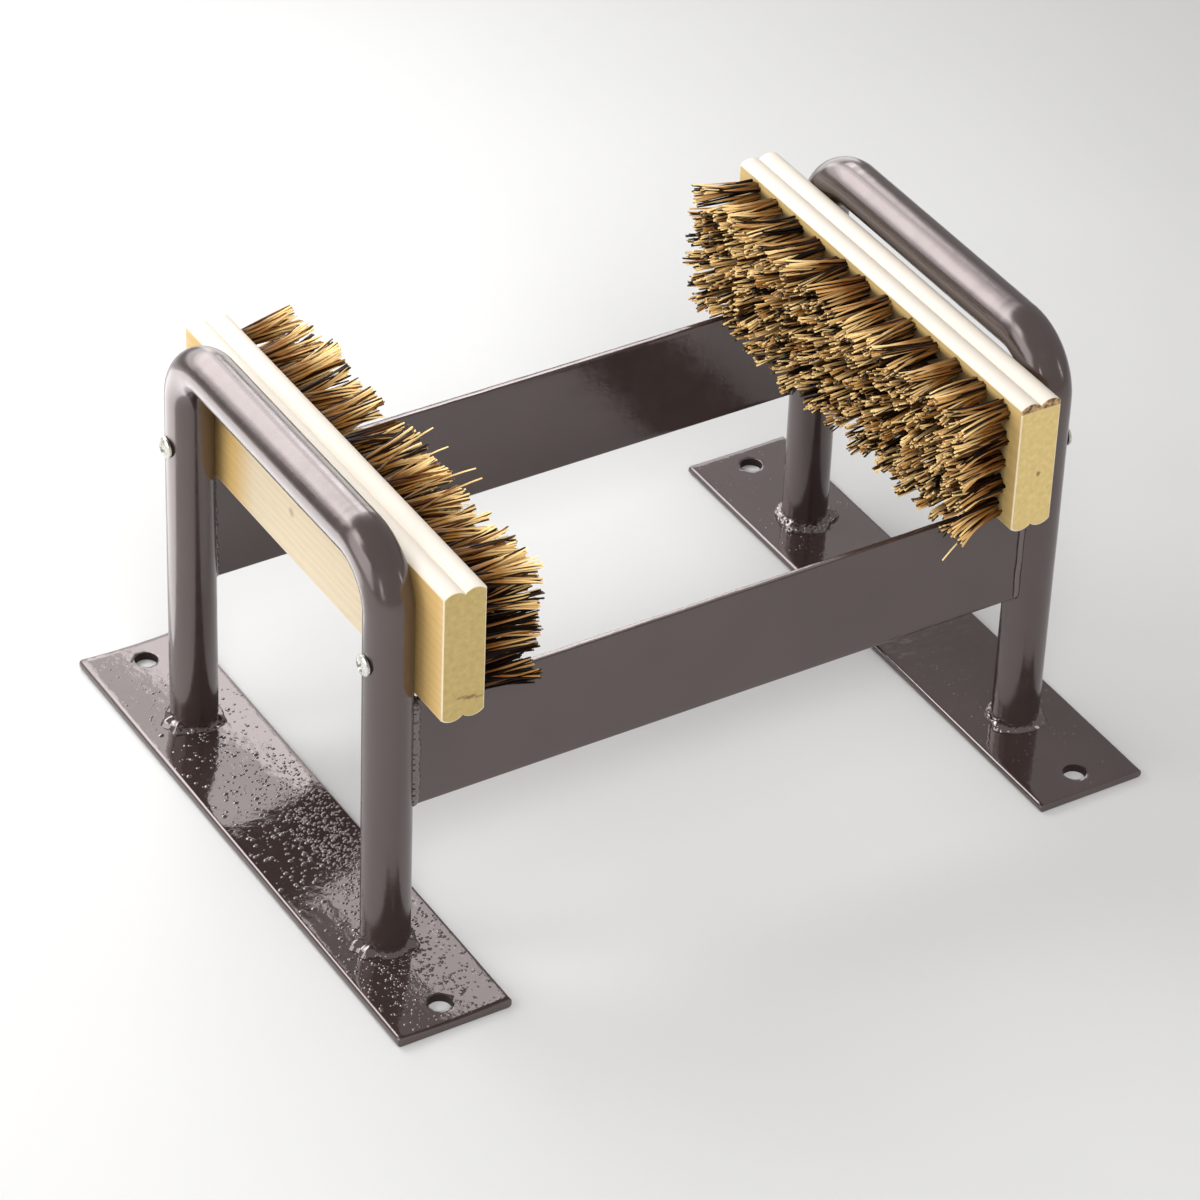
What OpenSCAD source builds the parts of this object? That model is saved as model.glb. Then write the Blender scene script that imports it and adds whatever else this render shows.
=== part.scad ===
// Boot scraper: two bent tube hoops on base plates, joined by two scraper rails,
// with a bristle brush screwed to the inside of each hoop.
// Millimetres. X runs along the rails, Y along the base plates, Z up.
// The origin is on the ground, in the middle of the frame.

/* [Tube hoops] */
// Outside diameter of the tube
tube_d = 20; // [16:0.5:25]
// Wall thickness of the tube
tube_wall = 1.5; // [1:0.1:3]
// Top of the hoops above the ground
hoop_height = 193; // [185:1:230]
// Radius of the two bends, measured to the middle of the tube
bend_radius = 22; // [18:1:32]
// Distance between the two legs of a hoop, centre to centre
leg_spacing = 160; // [140:1:180]
// Distance between the two hoops, centre to centre
hoop_spacing = 296; // [260:1:360]

/* [Base plates] */
// Length of each plate
plate_length = 270; // [250:1:320]
// Width of each plate
plate_width = 50; // [40:1:80]
// Thickness of each plate
plate_thickness = 3.5; // [3:0.5:8]
// Diameter of the bolt holes
bolt_hole_d = 9.5; // [6:0.5:14]
// From the end of a plate to the middle of its bolt hole
bolt_hole_inset = 12; // [9:1:18]

/* [Scraper rails] */
// Height of the flat bar, which stands on edge
rail_height = 50; // [30:1:60]
// Thickness of the flat bar
rail_thickness = 3; // [2:0.5:6]
// Bottom edge of the rails above the ground
rail_lift = 69; // [40:1:80]
// How far the middle of a rail lies outside the line of the legs
rail_offset = 2.8; // [0:0.1:5]

/* [Brush blocks] */
// Length of the wooden block
block_length = 205; // [195:1:240]
// Height of the block, over the beads on its long edges
block_height = 60; // [45:1:66]
// Thickness of the block
block_thickness = 18.5; // [14:0.5:30]
// Rise of the two rounded beads along each long edge
edge_bead_rise = 2; // [1:0.1:4]

/* [Bristles] */
// Length of the bristles beyond the face of the block
bristle_trim = 26; // [15:1:40]
// Distance between the tufts along a row
tuft_pitch = 16.5; // [14:0.1:20]
// Bare wood between the end of a row and the end of the block
row_end_margin = 8; // [5:1:15]
// From the long edge of the block to the middle of the outer row
row_edge_margin = 7; // [5:0.5:9]
// Radius of a tuft where it leaves the wood, to the middle of its strands
tuft_root_radius = 1.9; // [1.8:0.1:2.4]
// Thickness of a strand at its root, across its corners
strand_d = 2.4; // [1.6:0.1:2.4]
// Thickness of the splayed tips, as a share of the room that they have
tip_fill = 0.55; // [0.3:0.05:0.7]
// How far the tips fan out, as a share of their distance from the middle
fan_out = 0.055; // [0:0.005:0.08]
// Unevenness of the tips' places, as a share of the room that they have
tip_scatter = 0.2; // [0:0.05:0.25]
// Unevenness of the bristles' length
trim_unevenness = 0.8; // [0:0.1:2]
// Thickness of the layer of wood that holds the tufts
tuft_layer = 3; // [2:0.5:4]

/* [Screws] */
// Diameter of the pan head
screw_head_d = 9; // [7:0.5:12]
// Height of the pan head
screw_head_h = 2.6; // [2:0.1:4]
// Diameter of the threaded shank
screw_d = 4.2; // [3.5:0.1:6]
// From the lower edge of the block to the middle of the screws
screw_rise = 21; // [12:1:26]
// Wood left between the screw's point and the bristle face
screw_cover = 4.5; // [4.5:0.5:8]

/* [Welds] */
// Leg length of the weld round the foot of each leg
foot_weld_size = 4; // [3:0.5:6]
// Leg length of the two welds at each end of a rail
rail_weld_size = 2.5; // [2:0.5:3.5]
// Distance between the ripples of a weld
weld_ripple = 3; // [3:0.5:5]

/* [Fits] */
// Paint film between the tube and the back of a block
paint_gap = 0.2; // [0.1:0.1:0.5]
// Play between the block and the top edges of the rails
seat_gap = 0.2; // [0.1:0.1:0.5]
// Root gap between welded pieces and round their welds
weld_gap = 0.1; // [0.05:0.05:0.3]
// Radial play of a screw in its holes through the tube
screw_play = 0.4; // [0.2:0.1:0.8]
// Radial play of a screw in the wood
thread_play = 0.1; // [0.05:0.05:0.3]

/* [Hidden] */
$fn = 64;

paint_colour = "#5b5250";
wood_colour = "#ead9b0";
fibre_colour = "#a8783a";
zinc_colour = "#c8cac8";

// Sides and ends: -1 is left or front, 1 is right or rear
LEFT = -1;
RIGHT = 1;
FRONT = -1;
REAR = 1;

// Places of the main pieces
hoop_x = hoop_spacing / 2;
leg_y = leg_spacing / 2;
hoop_axis_top = hoop_height - tube_d / 2;
bend_start = hoop_axis_top - bend_radius;
bolt_hole_y = plate_length / 2 - bolt_hole_inset;
rail_y = leg_y + rail_offset;
rail_top = rail_lift + rail_height;
block_bottom = rail_top + seat_gap;
block_middle = block_bottom + block_height / 2;
block_back = hoop_x - tube_d / 2 - paint_gap;
bristle_face = block_back - block_thickness;
screw_z = block_bottom + screw_rise;
cut = 1;

// The block's edge beads are arcs that rise from a chord of half its thickness
bead_chord = block_thickness / 2;
bead_radius = (bead_chord * bead_chord / 4 + edge_bead_rise * edge_bead_rise) / (2 * edge_bead_rise);

// Rows are counted from the middle, upwards
TOP_ROW = 2;
UPPER_ROW = 1;
MIDDLE_ROW = 0;
LOWER_ROW = -1;
BOTTOM_ROW = -2;
row_pitch = (block_height - 2 * row_edge_margin) / (TOP_ROW - BOTTOM_ROW);
tufts_in_row = floor((block_length - 2 * row_end_margin) / tuft_pitch) + 1;
strands_in_tuft = 4;
strand_sides = 4;
// A tuft's tips share its cell, so each has a quarter of the pitch on either side
tip_room_y = tuft_pitch / 4;
tip_room_z = row_pitch / 4;
tip_radius = tip_fill * tip_room_z;

// Unevenness of the ripples round a leg, as a share of the weld's leg length
ripple_unevenness = 0.08;

// Proportions of a screw: its head's straight rim, its cross recess and its blunt point
rim_share = 0.45;
recess_length_share = 0.55;
recess_width_share = 0.14;
point_share = 0.1;

// Repeatable unevenness between -1 and 1, by turns of the golden angle
golden_angle = 137.508;
function wobble(count) = sin(count * golden_angle);

// Draws its children on the right or, mirrored, on the left
module on_side(side) {
    mirror([side == LEFT ? 1 : 0, 0, 0]) children();
}

// Draws its children at the rear or, mirrored, at the front
module at_end(end) {
    mirror([0, end == FRONT ? 1 : 0, 0]) children();
}

// Flat bar with a bolt hole near each end
module base_plate(side) {
    color(paint_colour)
    on_side(side)
    translate([hoop_x, 0, 0])
    linear_extrude(plate_thickness)
    difference() {
        square([plate_width, plate_length], center = true);
        for (end = [FRONT, REAR])
            translate([0, end * bolt_hole_y])
            circle(d = bolt_hole_d);
    }
}

// A round bar of the given diameter along the path of a hoop
module hoop_bar(diameter, foot) {
    for (end = [FRONT, REAR])
        at_end(end) {
            translate([hoop_x, leg_y, foot])
            cylinder(d = diameter, h = bend_start - foot);
            translate([hoop_x, leg_y - bend_radius, bend_start])
            rotate([90, 0, 90])
            rotate_extrude(angle = 90)
            translate([bend_radius, 0])
            circle(d = diameter);
        }
    translate([hoop_x, 0, hoop_axis_top])
    rotate([90, 0, 0])
    cylinder(d = diameter, h = leg_spacing - 2 * bend_radius, center = true);
}

// Tube bent into a hoop, drilled across at each leg for the brush screw
module hoop(side) {
    color(paint_colour)
    on_side(side)
    difference() {
        hoop_bar(tube_d, plate_thickness);
        hoop_bar(tube_d - 2 * tube_wall, plate_thickness - cut);
        for (end = [FRONT, REAR])
            translate([hoop_x, end * leg_y, screw_z])
            rotate([0, 90, 0])
            cylinder(r = screw_d / 2 + screw_play, h = tube_d + 2 * cut, center = true);
    }
}

// The legs as plain bars, to cut seats for what is welded to them
module leg_cutter() {
    for (side = [LEFT, RIGHT])
        on_side(side)
        translate([hoop_x, leg_y, 0])
        cylinder(r = tube_d / 2 + weld_gap, h = hoop_height);
}

// Flat bar on edge, its ends coped to the legs
module scraper_rail(end) {
    color(paint_colour)
    at_end(end)
    difference() {
        translate([-hoop_x, rail_y - rail_thickness / 2, rail_lift])
        cube([hoop_spacing, rail_thickness, rail_height]);
        leg_cutter();
    }
}

// Rippled bead of weld round the foot of a leg
module foot_weld(side, end) {
    ripples = round(PI * tube_d / weld_ripple);
    color(paint_colour)
    on_side(side)
    at_end(end)
    translate([hoop_x, leg_y, plate_thickness])
    difference() {
        intersection() {
            for (i = [0 : ripples - 1])
                rotate(i * 360 / ripples)
                translate([tube_d / 2, 0, 0])
                sphere(r = foot_weld_size * (1 + ripple_unevenness * wobble(i)));
            cylinder(r = tube_d, h = tube_d);
        }
        cylinder(r = tube_d / 2 + weld_gap, h = tube_d);
    }
}

// Outline of a row of ripples, to be turned about the line of the weld
module ripple_outline() {
    ripples = floor(rail_height / weld_ripple);
    for (i = [0 : ripples - 1])
        translate([0, rail_lift + (i + 0.5) * rail_height / ripples])
        circle(r = rail_weld_size);
}

// Two beads of weld, one on each face of a rail, at one of its ends
module rail_weld(side, end) {
    color(paint_colour)
    on_side(side)
    at_end(end)
    for (face = [-1, 1]) {
        face_y = rail_offset + face * rail_thickness / 2;
        bead_x = hoop_x - sqrt(tube_d * tube_d / 4 - face_y * face_y);
        difference() {
            translate([bead_x, leg_y + face_y, 0])
            rotate_extrude()
            intersection() {
                ripple_outline();
                translate([0, rail_lift])
                square([tube_d, rail_height]);
            }
            leg_cutter();
            translate([0, rail_y - rail_thickness / 2 - weld_gap, 0])
            cube([hoop_spacing, rail_thickness + 2 * weld_gap, hoop_height]);
        }
    }
}

// Section of a block: a plank with two rounded beads along each long edge
module block_outline() {
    shoulder = block_height / 2 - edge_bead_rise;
    translate([bristle_face, block_middle - shoulder])
    square([block_thickness, 2 * shoulder]);
    for (bead = [0, 1], edge = [-1, 1])
        translate([bristle_face + (bead + 0.5) * bead_chord, block_middle])
        mirror([0, edge < 0 ? 1 : 0])
        intersection() {
            translate([0, block_height / 2 - bead_radius])
            circle(r = bead_radius);
            translate([-bead_chord / 2, 0])
            square([bead_chord, block_height]);
        }
}

// Stands a section that was drawn in X and Z along the length of a block
module along_block() {
    translate([0, block_length / 2, 0])
    rotate([90, 0, 0])
    linear_extrude(block_length)
    children();
}

// The wood behind the tufts, with the pilot holes for its two screws
module brush_block(side) {
    pilot_depth = block_thickness - screw_cover;
    color(wood_colour)
    on_side(side)
    difference() {
        along_block()
        intersection() {
            block_outline();
            translate([bristle_face + tuft_layer, 0])
            square([block_thickness, hoop_height + block_height]);
        }
        for (end = [FRONT, REAR])
            translate([block_back - pilot_depth, end * leg_y, screw_z])
            rotate([0, 90, 0])
            cylinder(r = screw_d / 2 + thread_play, h = pilot_depth + cut);
    }
}

// Part of the section that holds one row: the outer rows reach the edges
module row_outline(row) {
    low = row == BOTTOM_ROW ? -block_height / 2 : (row - 0.5) * row_pitch;
    high = row == TOP_ROW ? block_height / 2 : (row + 0.5) * row_pitch;
    intersection() {
        block_outline();
        translate([bristle_face, block_middle + low])
        square([tuft_layer, high - low]);
    }
}

// Corners of a strand's section, about a point, at a distance from the wood
function strand_ring(point, reach, radius, turn) = [
    for (corner = [0 : strand_sides - 1])
        let (angle = turn + corner * 360 / strand_sides)
        [bristle_face - reach, point[0] + radius * cos(angle), point[1] + radius * sin(angle)]
];

// Triangles between the first ring of corners and the second
function strand_walls() = [
    for (corner = [0 : strand_sides - 1], half = [0, 1])
        let (next = (corner + 1) % strand_sides)
        half == 0
            ? [corner, next, next + strand_sides]
            : [corner, next + strand_sides, corner + strand_sides]
];

// One strand, from inside the wood to its tip
module strand(root, tip, length, turn) {
    points = concat(
        strand_ring(root, -tuft_layer / 2, strand_d / 2, turn),
        strand_ring(tip, length, tip_radius, turn)
    );
    root_end = [for (corner = [1 : strand_sides - 2]) [0, corner + 1, corner]];
    tip_end = [for (face = root_end) [for (i = [2, 1, 0]) face[i] + strand_sides]];
    polyhedron(points = points, faces = concat(root_end, tip_end, strand_walls()));
}

// One tuft: its strands leave the wood close together and spread to share its cell
module tuft(place, row, seed) {
    centre_y = (place - (tufts_in_row - 1) / 2) * tuft_pitch;
    centre_z = row * row_pitch;
    for (i = [0 : strands_in_tuft - 1]) {
        angle = 45 + i * 360 / strands_in_tuft;
        count = seed * strands_in_tuft + i;
        side_y = cos(angle) * sqrt(2);
        side_z = sin(angle) * sqrt(2);
        root = [
            centre_y + tuft_root_radius * cos(angle),
            block_middle + centre_z + tuft_root_radius * sin(angle)
        ];
        tip = [
            centre_y * (1 + fan_out) + (side_y + tip_scatter * wobble(3 * count)) * tip_room_y,
            block_middle + centre_z * (1 + fan_out)
                + (side_z + tip_scatter * wobble(5 * count + 1)) * tip_room_z
        ];
        length = bristle_trim + trim_unevenness * wobble(7 * count + 2);
        strand(root, tip, length, golden_angle * count);
    }
}

// One row of tufts with its strip of the wood
module bristle_row(side, row) {
    on_side(side)
    union() {
        color(wood_colour)
        along_block()
        row_outline(row);
        color(fibre_colour)
        for (place = [0 : tufts_in_row - 1])
            tuft(place, row, place + (row - BOTTOM_ROW) * tufts_in_row);
    }
}

// Section of a pan head, from its underside at zero
module pan_head_outline() {
    rim = screw_head_h * rim_share;
    crown = screw_head_h - rim;
    radius = screw_head_d / 2;
    crown_radius = (radius * radius + crown * crown) / (2 * crown);
    square([radius, rim]);
    intersection() {
        translate([0, screw_head_h - crown_radius])
        circle(r = crown_radius);
        square([radius, screw_head_h]);
    }
}

// Pan head screw with a cross recess, from outside the leg into the block
module screw(side, end) {
    reach = tube_d / 2 + weld_gap;
    length = reach + tube_d / 2 + paint_gap + block_thickness - screw_cover - thread_play;
    point = screw_d;
    recess_width = screw_head_d * recess_width_share;
    recess_length = screw_head_d * recess_length_share;
    color(zinc_colour)
    on_side(side)
    at_end(end)
    translate([hoop_x + reach, leg_y, screw_z])
    rotate([0, 90, 0])
    difference() {
        union() {
            rotate_extrude()
            pan_head_outline();
            translate([0, 0, point - length])
            cylinder(d = screw_d, h = length - point);
            translate([0, 0, -length])
            cylinder(d1 = screw_d * point_share, d2 = screw_d, h = point);
        }
        for (turn = [0, 90])
            rotate(turn)
            translate([-recess_length / 2, -recess_width / 2, screw_head_h * rim_share])
            cube([recess_length, recess_width, screw_head_h]);
    }
}

base_plate(LEFT);  // base_plate_left
base_plate(RIGHT);  // base_plate_right
hoop(LEFT);  // hoop_left
hoop(RIGHT);  // hoop_right
scraper_rail(FRONT);  // scraper_rail_front
scraper_rail(REAR);  // scraper_rail_rear
foot_weld(LEFT, FRONT);  // foot_weld_left_front
foot_weld(LEFT, REAR);  // foot_weld_left_rear
foot_weld(RIGHT, FRONT);  // foot_weld_right_front
foot_weld(RIGHT, REAR);  // foot_weld_right_rear
rail_weld(LEFT, FRONT);  // rail_weld_left_front
rail_weld(LEFT, REAR);  // rail_weld_left_rear
rail_weld(RIGHT, FRONT);  // rail_weld_right_front
rail_weld(RIGHT, REAR);  // rail_weld_right_rear
brush_block(LEFT);  // brush_block_left
brush_block(RIGHT);  // brush_block_right
bristle_row(LEFT, TOP_ROW);  // bristles_left_top_row
bristle_row(LEFT, UPPER_ROW);  // bristles_left_upper_row
bristle_row(LEFT, MIDDLE_ROW);  // bristles_left_middle_row
bristle_row(LEFT, LOWER_ROW);  // bristles_left_lower_row
bristle_row(LEFT, BOTTOM_ROW);  // bristles_left_bottom_row
bristle_row(RIGHT, TOP_ROW);  // bristles_right_top_row
bristle_row(RIGHT, UPPER_ROW);  // bristles_right_upper_row
bristle_row(RIGHT, MIDDLE_ROW);  // bristles_right_middle_row
bristle_row(RIGHT, LOWER_ROW);  // bristles_right_lower_row
bristle_row(RIGHT, BOTTOM_ROW);  // bristles_right_bottom_row
screw(LEFT, FRONT);  // screw_left_front
screw(LEFT, REAR);  // screw_left_rear
screw(RIGHT, FRONT);  // screw_right_front
screw(RIGHT, REAR);  // screw_right_rear
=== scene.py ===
# %% [markdown]
# # A boot scraper, from bare solids to a finished picture
#
# A boot scraper is a welded steel frame with a stiff brush screwed inside each hoop.
# The solids of its pieces are made and measured elsewhere, and they stay where they are.
# Here each piece gets the surface that a maker's hands leave on it: rolled edges, lumpy
# welds, planed and sawn wood, cut fibre, and paint that flows a little before it dries.
# Everything is in metres, with the ground at zero and the long way along X.

# %% Load the solids
import math
import random

import bmesh
import bpy
from mathutils import Matrix, Vector, noise


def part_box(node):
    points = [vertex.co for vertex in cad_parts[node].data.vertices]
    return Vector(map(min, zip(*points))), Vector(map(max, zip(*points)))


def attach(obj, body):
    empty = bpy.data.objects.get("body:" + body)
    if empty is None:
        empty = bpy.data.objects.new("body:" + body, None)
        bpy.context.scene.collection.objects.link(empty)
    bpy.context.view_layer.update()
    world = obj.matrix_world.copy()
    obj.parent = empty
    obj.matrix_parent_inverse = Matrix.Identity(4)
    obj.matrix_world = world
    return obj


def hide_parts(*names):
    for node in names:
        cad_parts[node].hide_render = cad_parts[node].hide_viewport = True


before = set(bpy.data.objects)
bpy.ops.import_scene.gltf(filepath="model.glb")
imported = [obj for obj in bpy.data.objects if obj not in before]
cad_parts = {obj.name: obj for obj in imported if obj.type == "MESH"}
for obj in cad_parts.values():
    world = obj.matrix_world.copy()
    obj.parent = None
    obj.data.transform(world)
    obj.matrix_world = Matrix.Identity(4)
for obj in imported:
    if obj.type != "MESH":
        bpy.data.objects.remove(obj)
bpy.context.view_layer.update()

MM = 0.001

# %% [markdown]
# ## Read the sizes off the solids
#
# Nothing is typed twice. A solid's box says how wide the tube is, where the legs stand
# and how thick the bars are, so a piece that is dressed here fits the solid it stands
# for. Only what a box can't tell, such as the radius of a bend, is written as a number.

# %% Sizes and places
plate_low, plate_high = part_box("base_plate_right")
hoop_low, hoop_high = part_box("hoop_right")
rail_low, rail_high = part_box("scraper_rail_rear")
block_low, block_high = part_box("brush_block_right")
screw_low, screw_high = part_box("screw_right_rear")

SIDES = {"left": -1, "right": 1}
ENDS = {"front": -1, "rear": 1}

tube_radius = (hoop_high.x - hoop_low.x) / 2
tube_wall = 1.5 * MM
bend_radius = 22 * MM
hoop_x = (hoop_high.x + hoop_low.x) / 2
leg_y = hoop_high.y - tube_radius
bar_z = hoop_high.z - tube_radius
bend_start = bar_z - bend_radius
plate_top = plate_high.z

tuft_layer = 3 * MM
block_middle = (block_low.z + block_high.z) / 2
block_height = block_high.z - block_low.z
block_length = block_high.y - block_low.y
bristle_face = block_low.x - tuft_layer
block_back = block_high.x
block_thickness = block_back - bristle_face
screw_z = (screw_low.z + screw_high.z) / 2

print("tube", round(2 * tube_radius / MM, 2), "legs at", round(hoop_x / MM, 1), round(leg_y / MM, 1))
print("block", [round(v / MM, 1) for v in (block_thickness, block_length, block_height)])

# %% [markdown]
# ## The camera
#
# The photograph was taken with a long lens, from the front left and well above, with
# the camera a little off level. A camera is a place to look at, a direction to look
# from, a distance and a roll. A long lens from far away keeps the bars nearly parallel.

# %% Set up the camera
look_at = Vector((-12.2, -10.9, 73.7)) * MM
camera_turn = math.radians(32.365)
camera_height = math.radians(36.484)
camera_roll = math.radians(2.364)
camera_distance = 2.0980
lens_length = 157.634
film_width = 36

toward_camera = Vector((
    -math.sin(camera_turn) * math.cos(camera_height),
    -math.cos(camera_turn) * math.cos(camera_height),
    math.sin(camera_height),
))
camera = bpy.data.objects.new("camera", bpy.data.cameras.new("camera"))
bpy.context.scene.collection.objects.link(camera)
camera.data.lens = lens_length
camera.data.sensor_width = film_width
camera.location = look_at + toward_camera * camera_distance
level = toward_camera.to_track_quat("Z", "Y").to_matrix()
camera.rotation_euler = (level @ Matrix.Rotation(camera_roll, 3, "Z")).to_euler()
bpy.context.scene.camera = camera
print("camera at", [round(v, 3) for v in camera.location])

# %% [markdown]
# ## Tools for making meshes
#
# Tube, flat bar, wood and weld are all made the same way: rings of points that are
# joined, one to the next, into a skin. A skin takes any unevenness by moving its points,
# which is why it is used here and not a row of ready-made shapes.

# %% Make skins and pieces
def skin(rings, closed=False):
    """Points and faces of a skin over rings that have as many points each."""
    points = [point for ring in rings for point in ring]
    sides = len(rings[0])
    faces = []
    for i in range(len(rings) if closed else len(rings) - 1):
        here = i * sides
        there = (i + 1) % len(rings) * sides
        for j in range(sides):
            k = (j + 1) % sides
            faces.append((here + j, here + k, there + k, there + j))
    if not closed:
        faces.append(tuple(range(sides)))
        faces.append(tuple(range(len(points) - sides, len(points))))
    return points, faces


def smooth_shape(mesh, sharp_angle):
    """Turns all faces outward and shades them smooth, but for edges sharper than the angle."""
    shell = bmesh.new()
    shell.from_mesh(mesh)
    bmesh.ops.recalc_face_normals(shell, faces=shell.faces)
    shell.to_mesh(mesh)
    shell.free()
    mesh.shade_smooth()
    mesh.set_sharp_from_angle(angle=math.radians(sharp_angle))


def make_piece(name, points, faces, finish, stands_for=(), sharp_angle=50):
    """A piece of the boot scraper, in place, with its finish."""
    mesh = bpy.data.meshes.new(name)
    mesh.from_pydata(points, [], faces)
    smooth_shape(mesh, sharp_angle)
    mesh.materials.append(finish)
    piece = bpy.data.objects.new(name, mesh)
    bpy.context.scene.collection.objects.link(piece)
    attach(piece, "root")
    if stands_for:
        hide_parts(*stands_for)
    return piece


print("skins and pieces ready")

# %% [markdown]
# ## Cuts, unevenness and circles
#
# Holes and recesses are cut out with a closed shape that is thrown away afterwards. The
# unevenness is a soft noise in space: it is the same on each run, and two places close
# together get nearly the same value, as on things made by hand.

# %% Cut, roughen and go round
def cut_away(piece, points, faces, sharp_angle=50, lining=None):
    """Cuts a closed shape out of a piece, and may give the cut a finish of its own."""
    mesh = bpy.data.meshes.new("cutter")
    mesh.from_pydata(points, [], faces)
    smooth_shape(mesh, sharp_angle)
    if lining:
        mesh.materials.append(lining)
    cutter = bpy.data.objects.new("cutter", mesh)
    bpy.context.scene.collection.objects.link(cutter)
    cut = piece.modifiers.new("cut", "BOOLEAN")
    cut.material_mode = "TRANSFER"
    cut.operation = "DIFFERENCE"
    cut.solver = "EXACT"
    cut.object = cutter
    whole = bpy.context.evaluated_depsgraph_get()
    carved = bpy.data.meshes.new_from_object(piece.evaluated_get(whole))
    piece.modifiers.clear()
    piece.data = carved
    smooth_shape(carved, sharp_angle)
    bpy.data.objects.remove(cutter)


SEED_STEP = (1.0, 1.7, -0.6)


def uneven(place, wavelength, seed=0.0):
    """Soft unevenness from -1 to 1 that repeats itself nowhere, but is the same on each run."""
    start = Vector([seed * step for step in SEED_STEP])
    return noise.noise(Vector(place) / wavelength + start)


def circle(count, radius=1.0, start=0.0):
    """Points round a circle, as pairs."""
    turn = math.tau / count
    angles = [start + i * turn for i in range(count)]
    return [(radius * math.cos(angle), radius * math.sin(angle)) for angle in angles]


print("points round a circle:", len(circle(12)))

# %% [markdown]
# ## Finishes as nodes
#
# A finish is a small network: something that varies over the surface, such as noise,
# drives the colour, the roughness and the fine bumps of a shader. These helpers keep
# each network short enough to read. Texture places are in the object's own metres, so
# a scale of 500 gives features of about two millimetres.

# %% Start a finish and spread a noise over it
# Nearly all of a noise lies between these two values.
MOST_OF_NOISE = (0.3, 0.7)


def new_finish(name):
    """An empty finish with its shader: returns the finish, its network and the shader."""
    finish = bpy.data.materials.new(name)
    finish.use_nodes = True
    network = finish.node_tree
    return finish, network, network.nodes["Principled BSDF"]


def add_node(network, kind, **settings):
    """Adds a node. A setting is one of its own, or the value of a socket, with _ for a space."""
    made = network.nodes.new(kind)
    for key, value in settings.items():
        if hasattr(made, key):
            setattr(made, key, value)
        else:
            made.inputs[key.replace("_", " ")].default_value = value
    return made


def object_places(network, stretch=(1, 1, 1)):
    """Places on the object, in metres, stretched along some directions."""
    places = add_node(network, "ShaderNodeTexCoord")
    mapping = add_node(network, "ShaderNodeMapping", Scale=stretch)
    network.links.new(places.outputs["Object"], mapping.inputs["Vector"])
    return mapping.outputs["Vector"]


def noise_from(network, places, scale, detail=2.0, roughness=0.5):
    """A soft noise from 0 to 1 over the surface."""
    cloud = add_node(network, "ShaderNodeTexNoise", Scale=scale, Detail=detail, Roughness=roughness)
    network.links.new(places, cloud.inputs["Vector"])
    return cloud.outputs["Fac"]


def spread(network, value, low, high, out_low=0.0, out_high=1.0):
    """Stretches the part of a value between low and high to a new range."""
    ranged = add_node(network, "ShaderNodeMapRange")
    for socket, number in zip(("From Min", "From Max", "To Min", "To Max"), (low, high, out_low, out_high)):
        ranged.inputs[socket].default_value = number
    network.links.new(value, ranged.inputs["Value"])
    return ranged.outputs["Result"]


def spread_noise(network, value, out_low, out_high):
    """Stretches a noise to a new range."""
    return spread(network, value, *MOST_OF_NOISE, out_low, out_high)


print("noise helpers ready")

# %% Colour, calculate and add bumps
def colour_steps(network, value, steps):
    """Colours along a value: steps are pairs of a position and a colour."""
    ramp = add_node(network, "ShaderNodeValToRGB")
    stops = ramp.color_ramp.elements
    while len(stops) < len(steps):
        stops.new(0.5)
    for stop, (position, colour) in zip(stops, steps):
        stop.position = position
        stop.color = (*colour, 1)
    network.links.new(value, ramp.inputs["Fac"])
    return ramp.outputs["Color"]


def colour_noise(network, value, first, second):
    """Colours a noise softly, from a first to a second colour."""
    return colour_steps(network, value, list(zip(MOST_OF_NOISE, (first, second))))


def mix_colours(network, share, first, second, how="MIX"):
    """Mixes two colours, each one an output of a node or three numbers."""
    mix = add_node(network, "ShaderNodeMix", data_type="RGBA", blend_type=how)
    for socket, value in ((0, share), (6, first), (7, second)):
        if isinstance(value, bpy.types.NodeSocket):
            network.links.new(value, mix.inputs[socket])
        else:
            mix.inputs[socket].default_value = value if socket == 0 else (*value, 1)
    return mix.outputs[2]


def calculate(network, how, first, second):
    """One sum with two values, each one an output of a node or a number."""
    maths = add_node(network, "ShaderNodeMath", operation=how)
    for socket, value in enumerate((first, second)):
        if isinstance(value, bpy.types.NodeSocket):
            network.links.new(value, maths.inputs[socket])
        else:
            maths.inputs[socket].default_value = value
    return maths.outputs[0]


def add_bumps(network, shader, layers):
    """Chains bumps: each layer is a height, a strength and a depth in metres."""
    normal = None
    for height, strength, depth in layers:
        bump = add_node(network, "ShaderNodeBump", Strength=strength, Distance=depth)
        network.links.new(height, bump.inputs["Height"])
        if normal:
            network.links.new(normal, bump.inputs["Normal"])
        normal = bump.outputs["Normal"]
    network.links.new(normal, shader.inputs["Normal"])


print("colour helpers ready")

# %% [markdown]
# ## Gloss enamel
#
# The steel is dipped or sprayed in a dark umber gloss, straight over the mill surface.
# Such paint is never flat: it has orange peel, a slow waviness, and grit under it. A
# perfect mirror would look like plastic, so the roughness wanders, and two sizes of
# bumps break up the reflections. The same paint lies differently on each kind of steel,
# so one function makes five enamels. The hot-rolled plates get a mirror over grit, and
# the drawn tube and the rails a softer gloss. The welds look dark and wet. The bore of a
# bolt hole gets a dull enamel, nearly black: that black is painted shade inside the hole.

# %% Make the enamels
UMBER = ((0.028, 0.0182, 0.0165), (0.036, 0.024, 0.022))
DARK_UMBER = ((0.016, 0.010, 0.009), (0.022, 0.014, 0.013))
# Nearly black umber for the bore of a bolt hole: painted shade inside the hole.
BORE_SHADE_UMBER = ((0.012, 0.008, 0.007), (0.020, 0.013, 0.012))
UMBER_GLINT = (1.0, 0.88, 0.87, 1.0)


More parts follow.
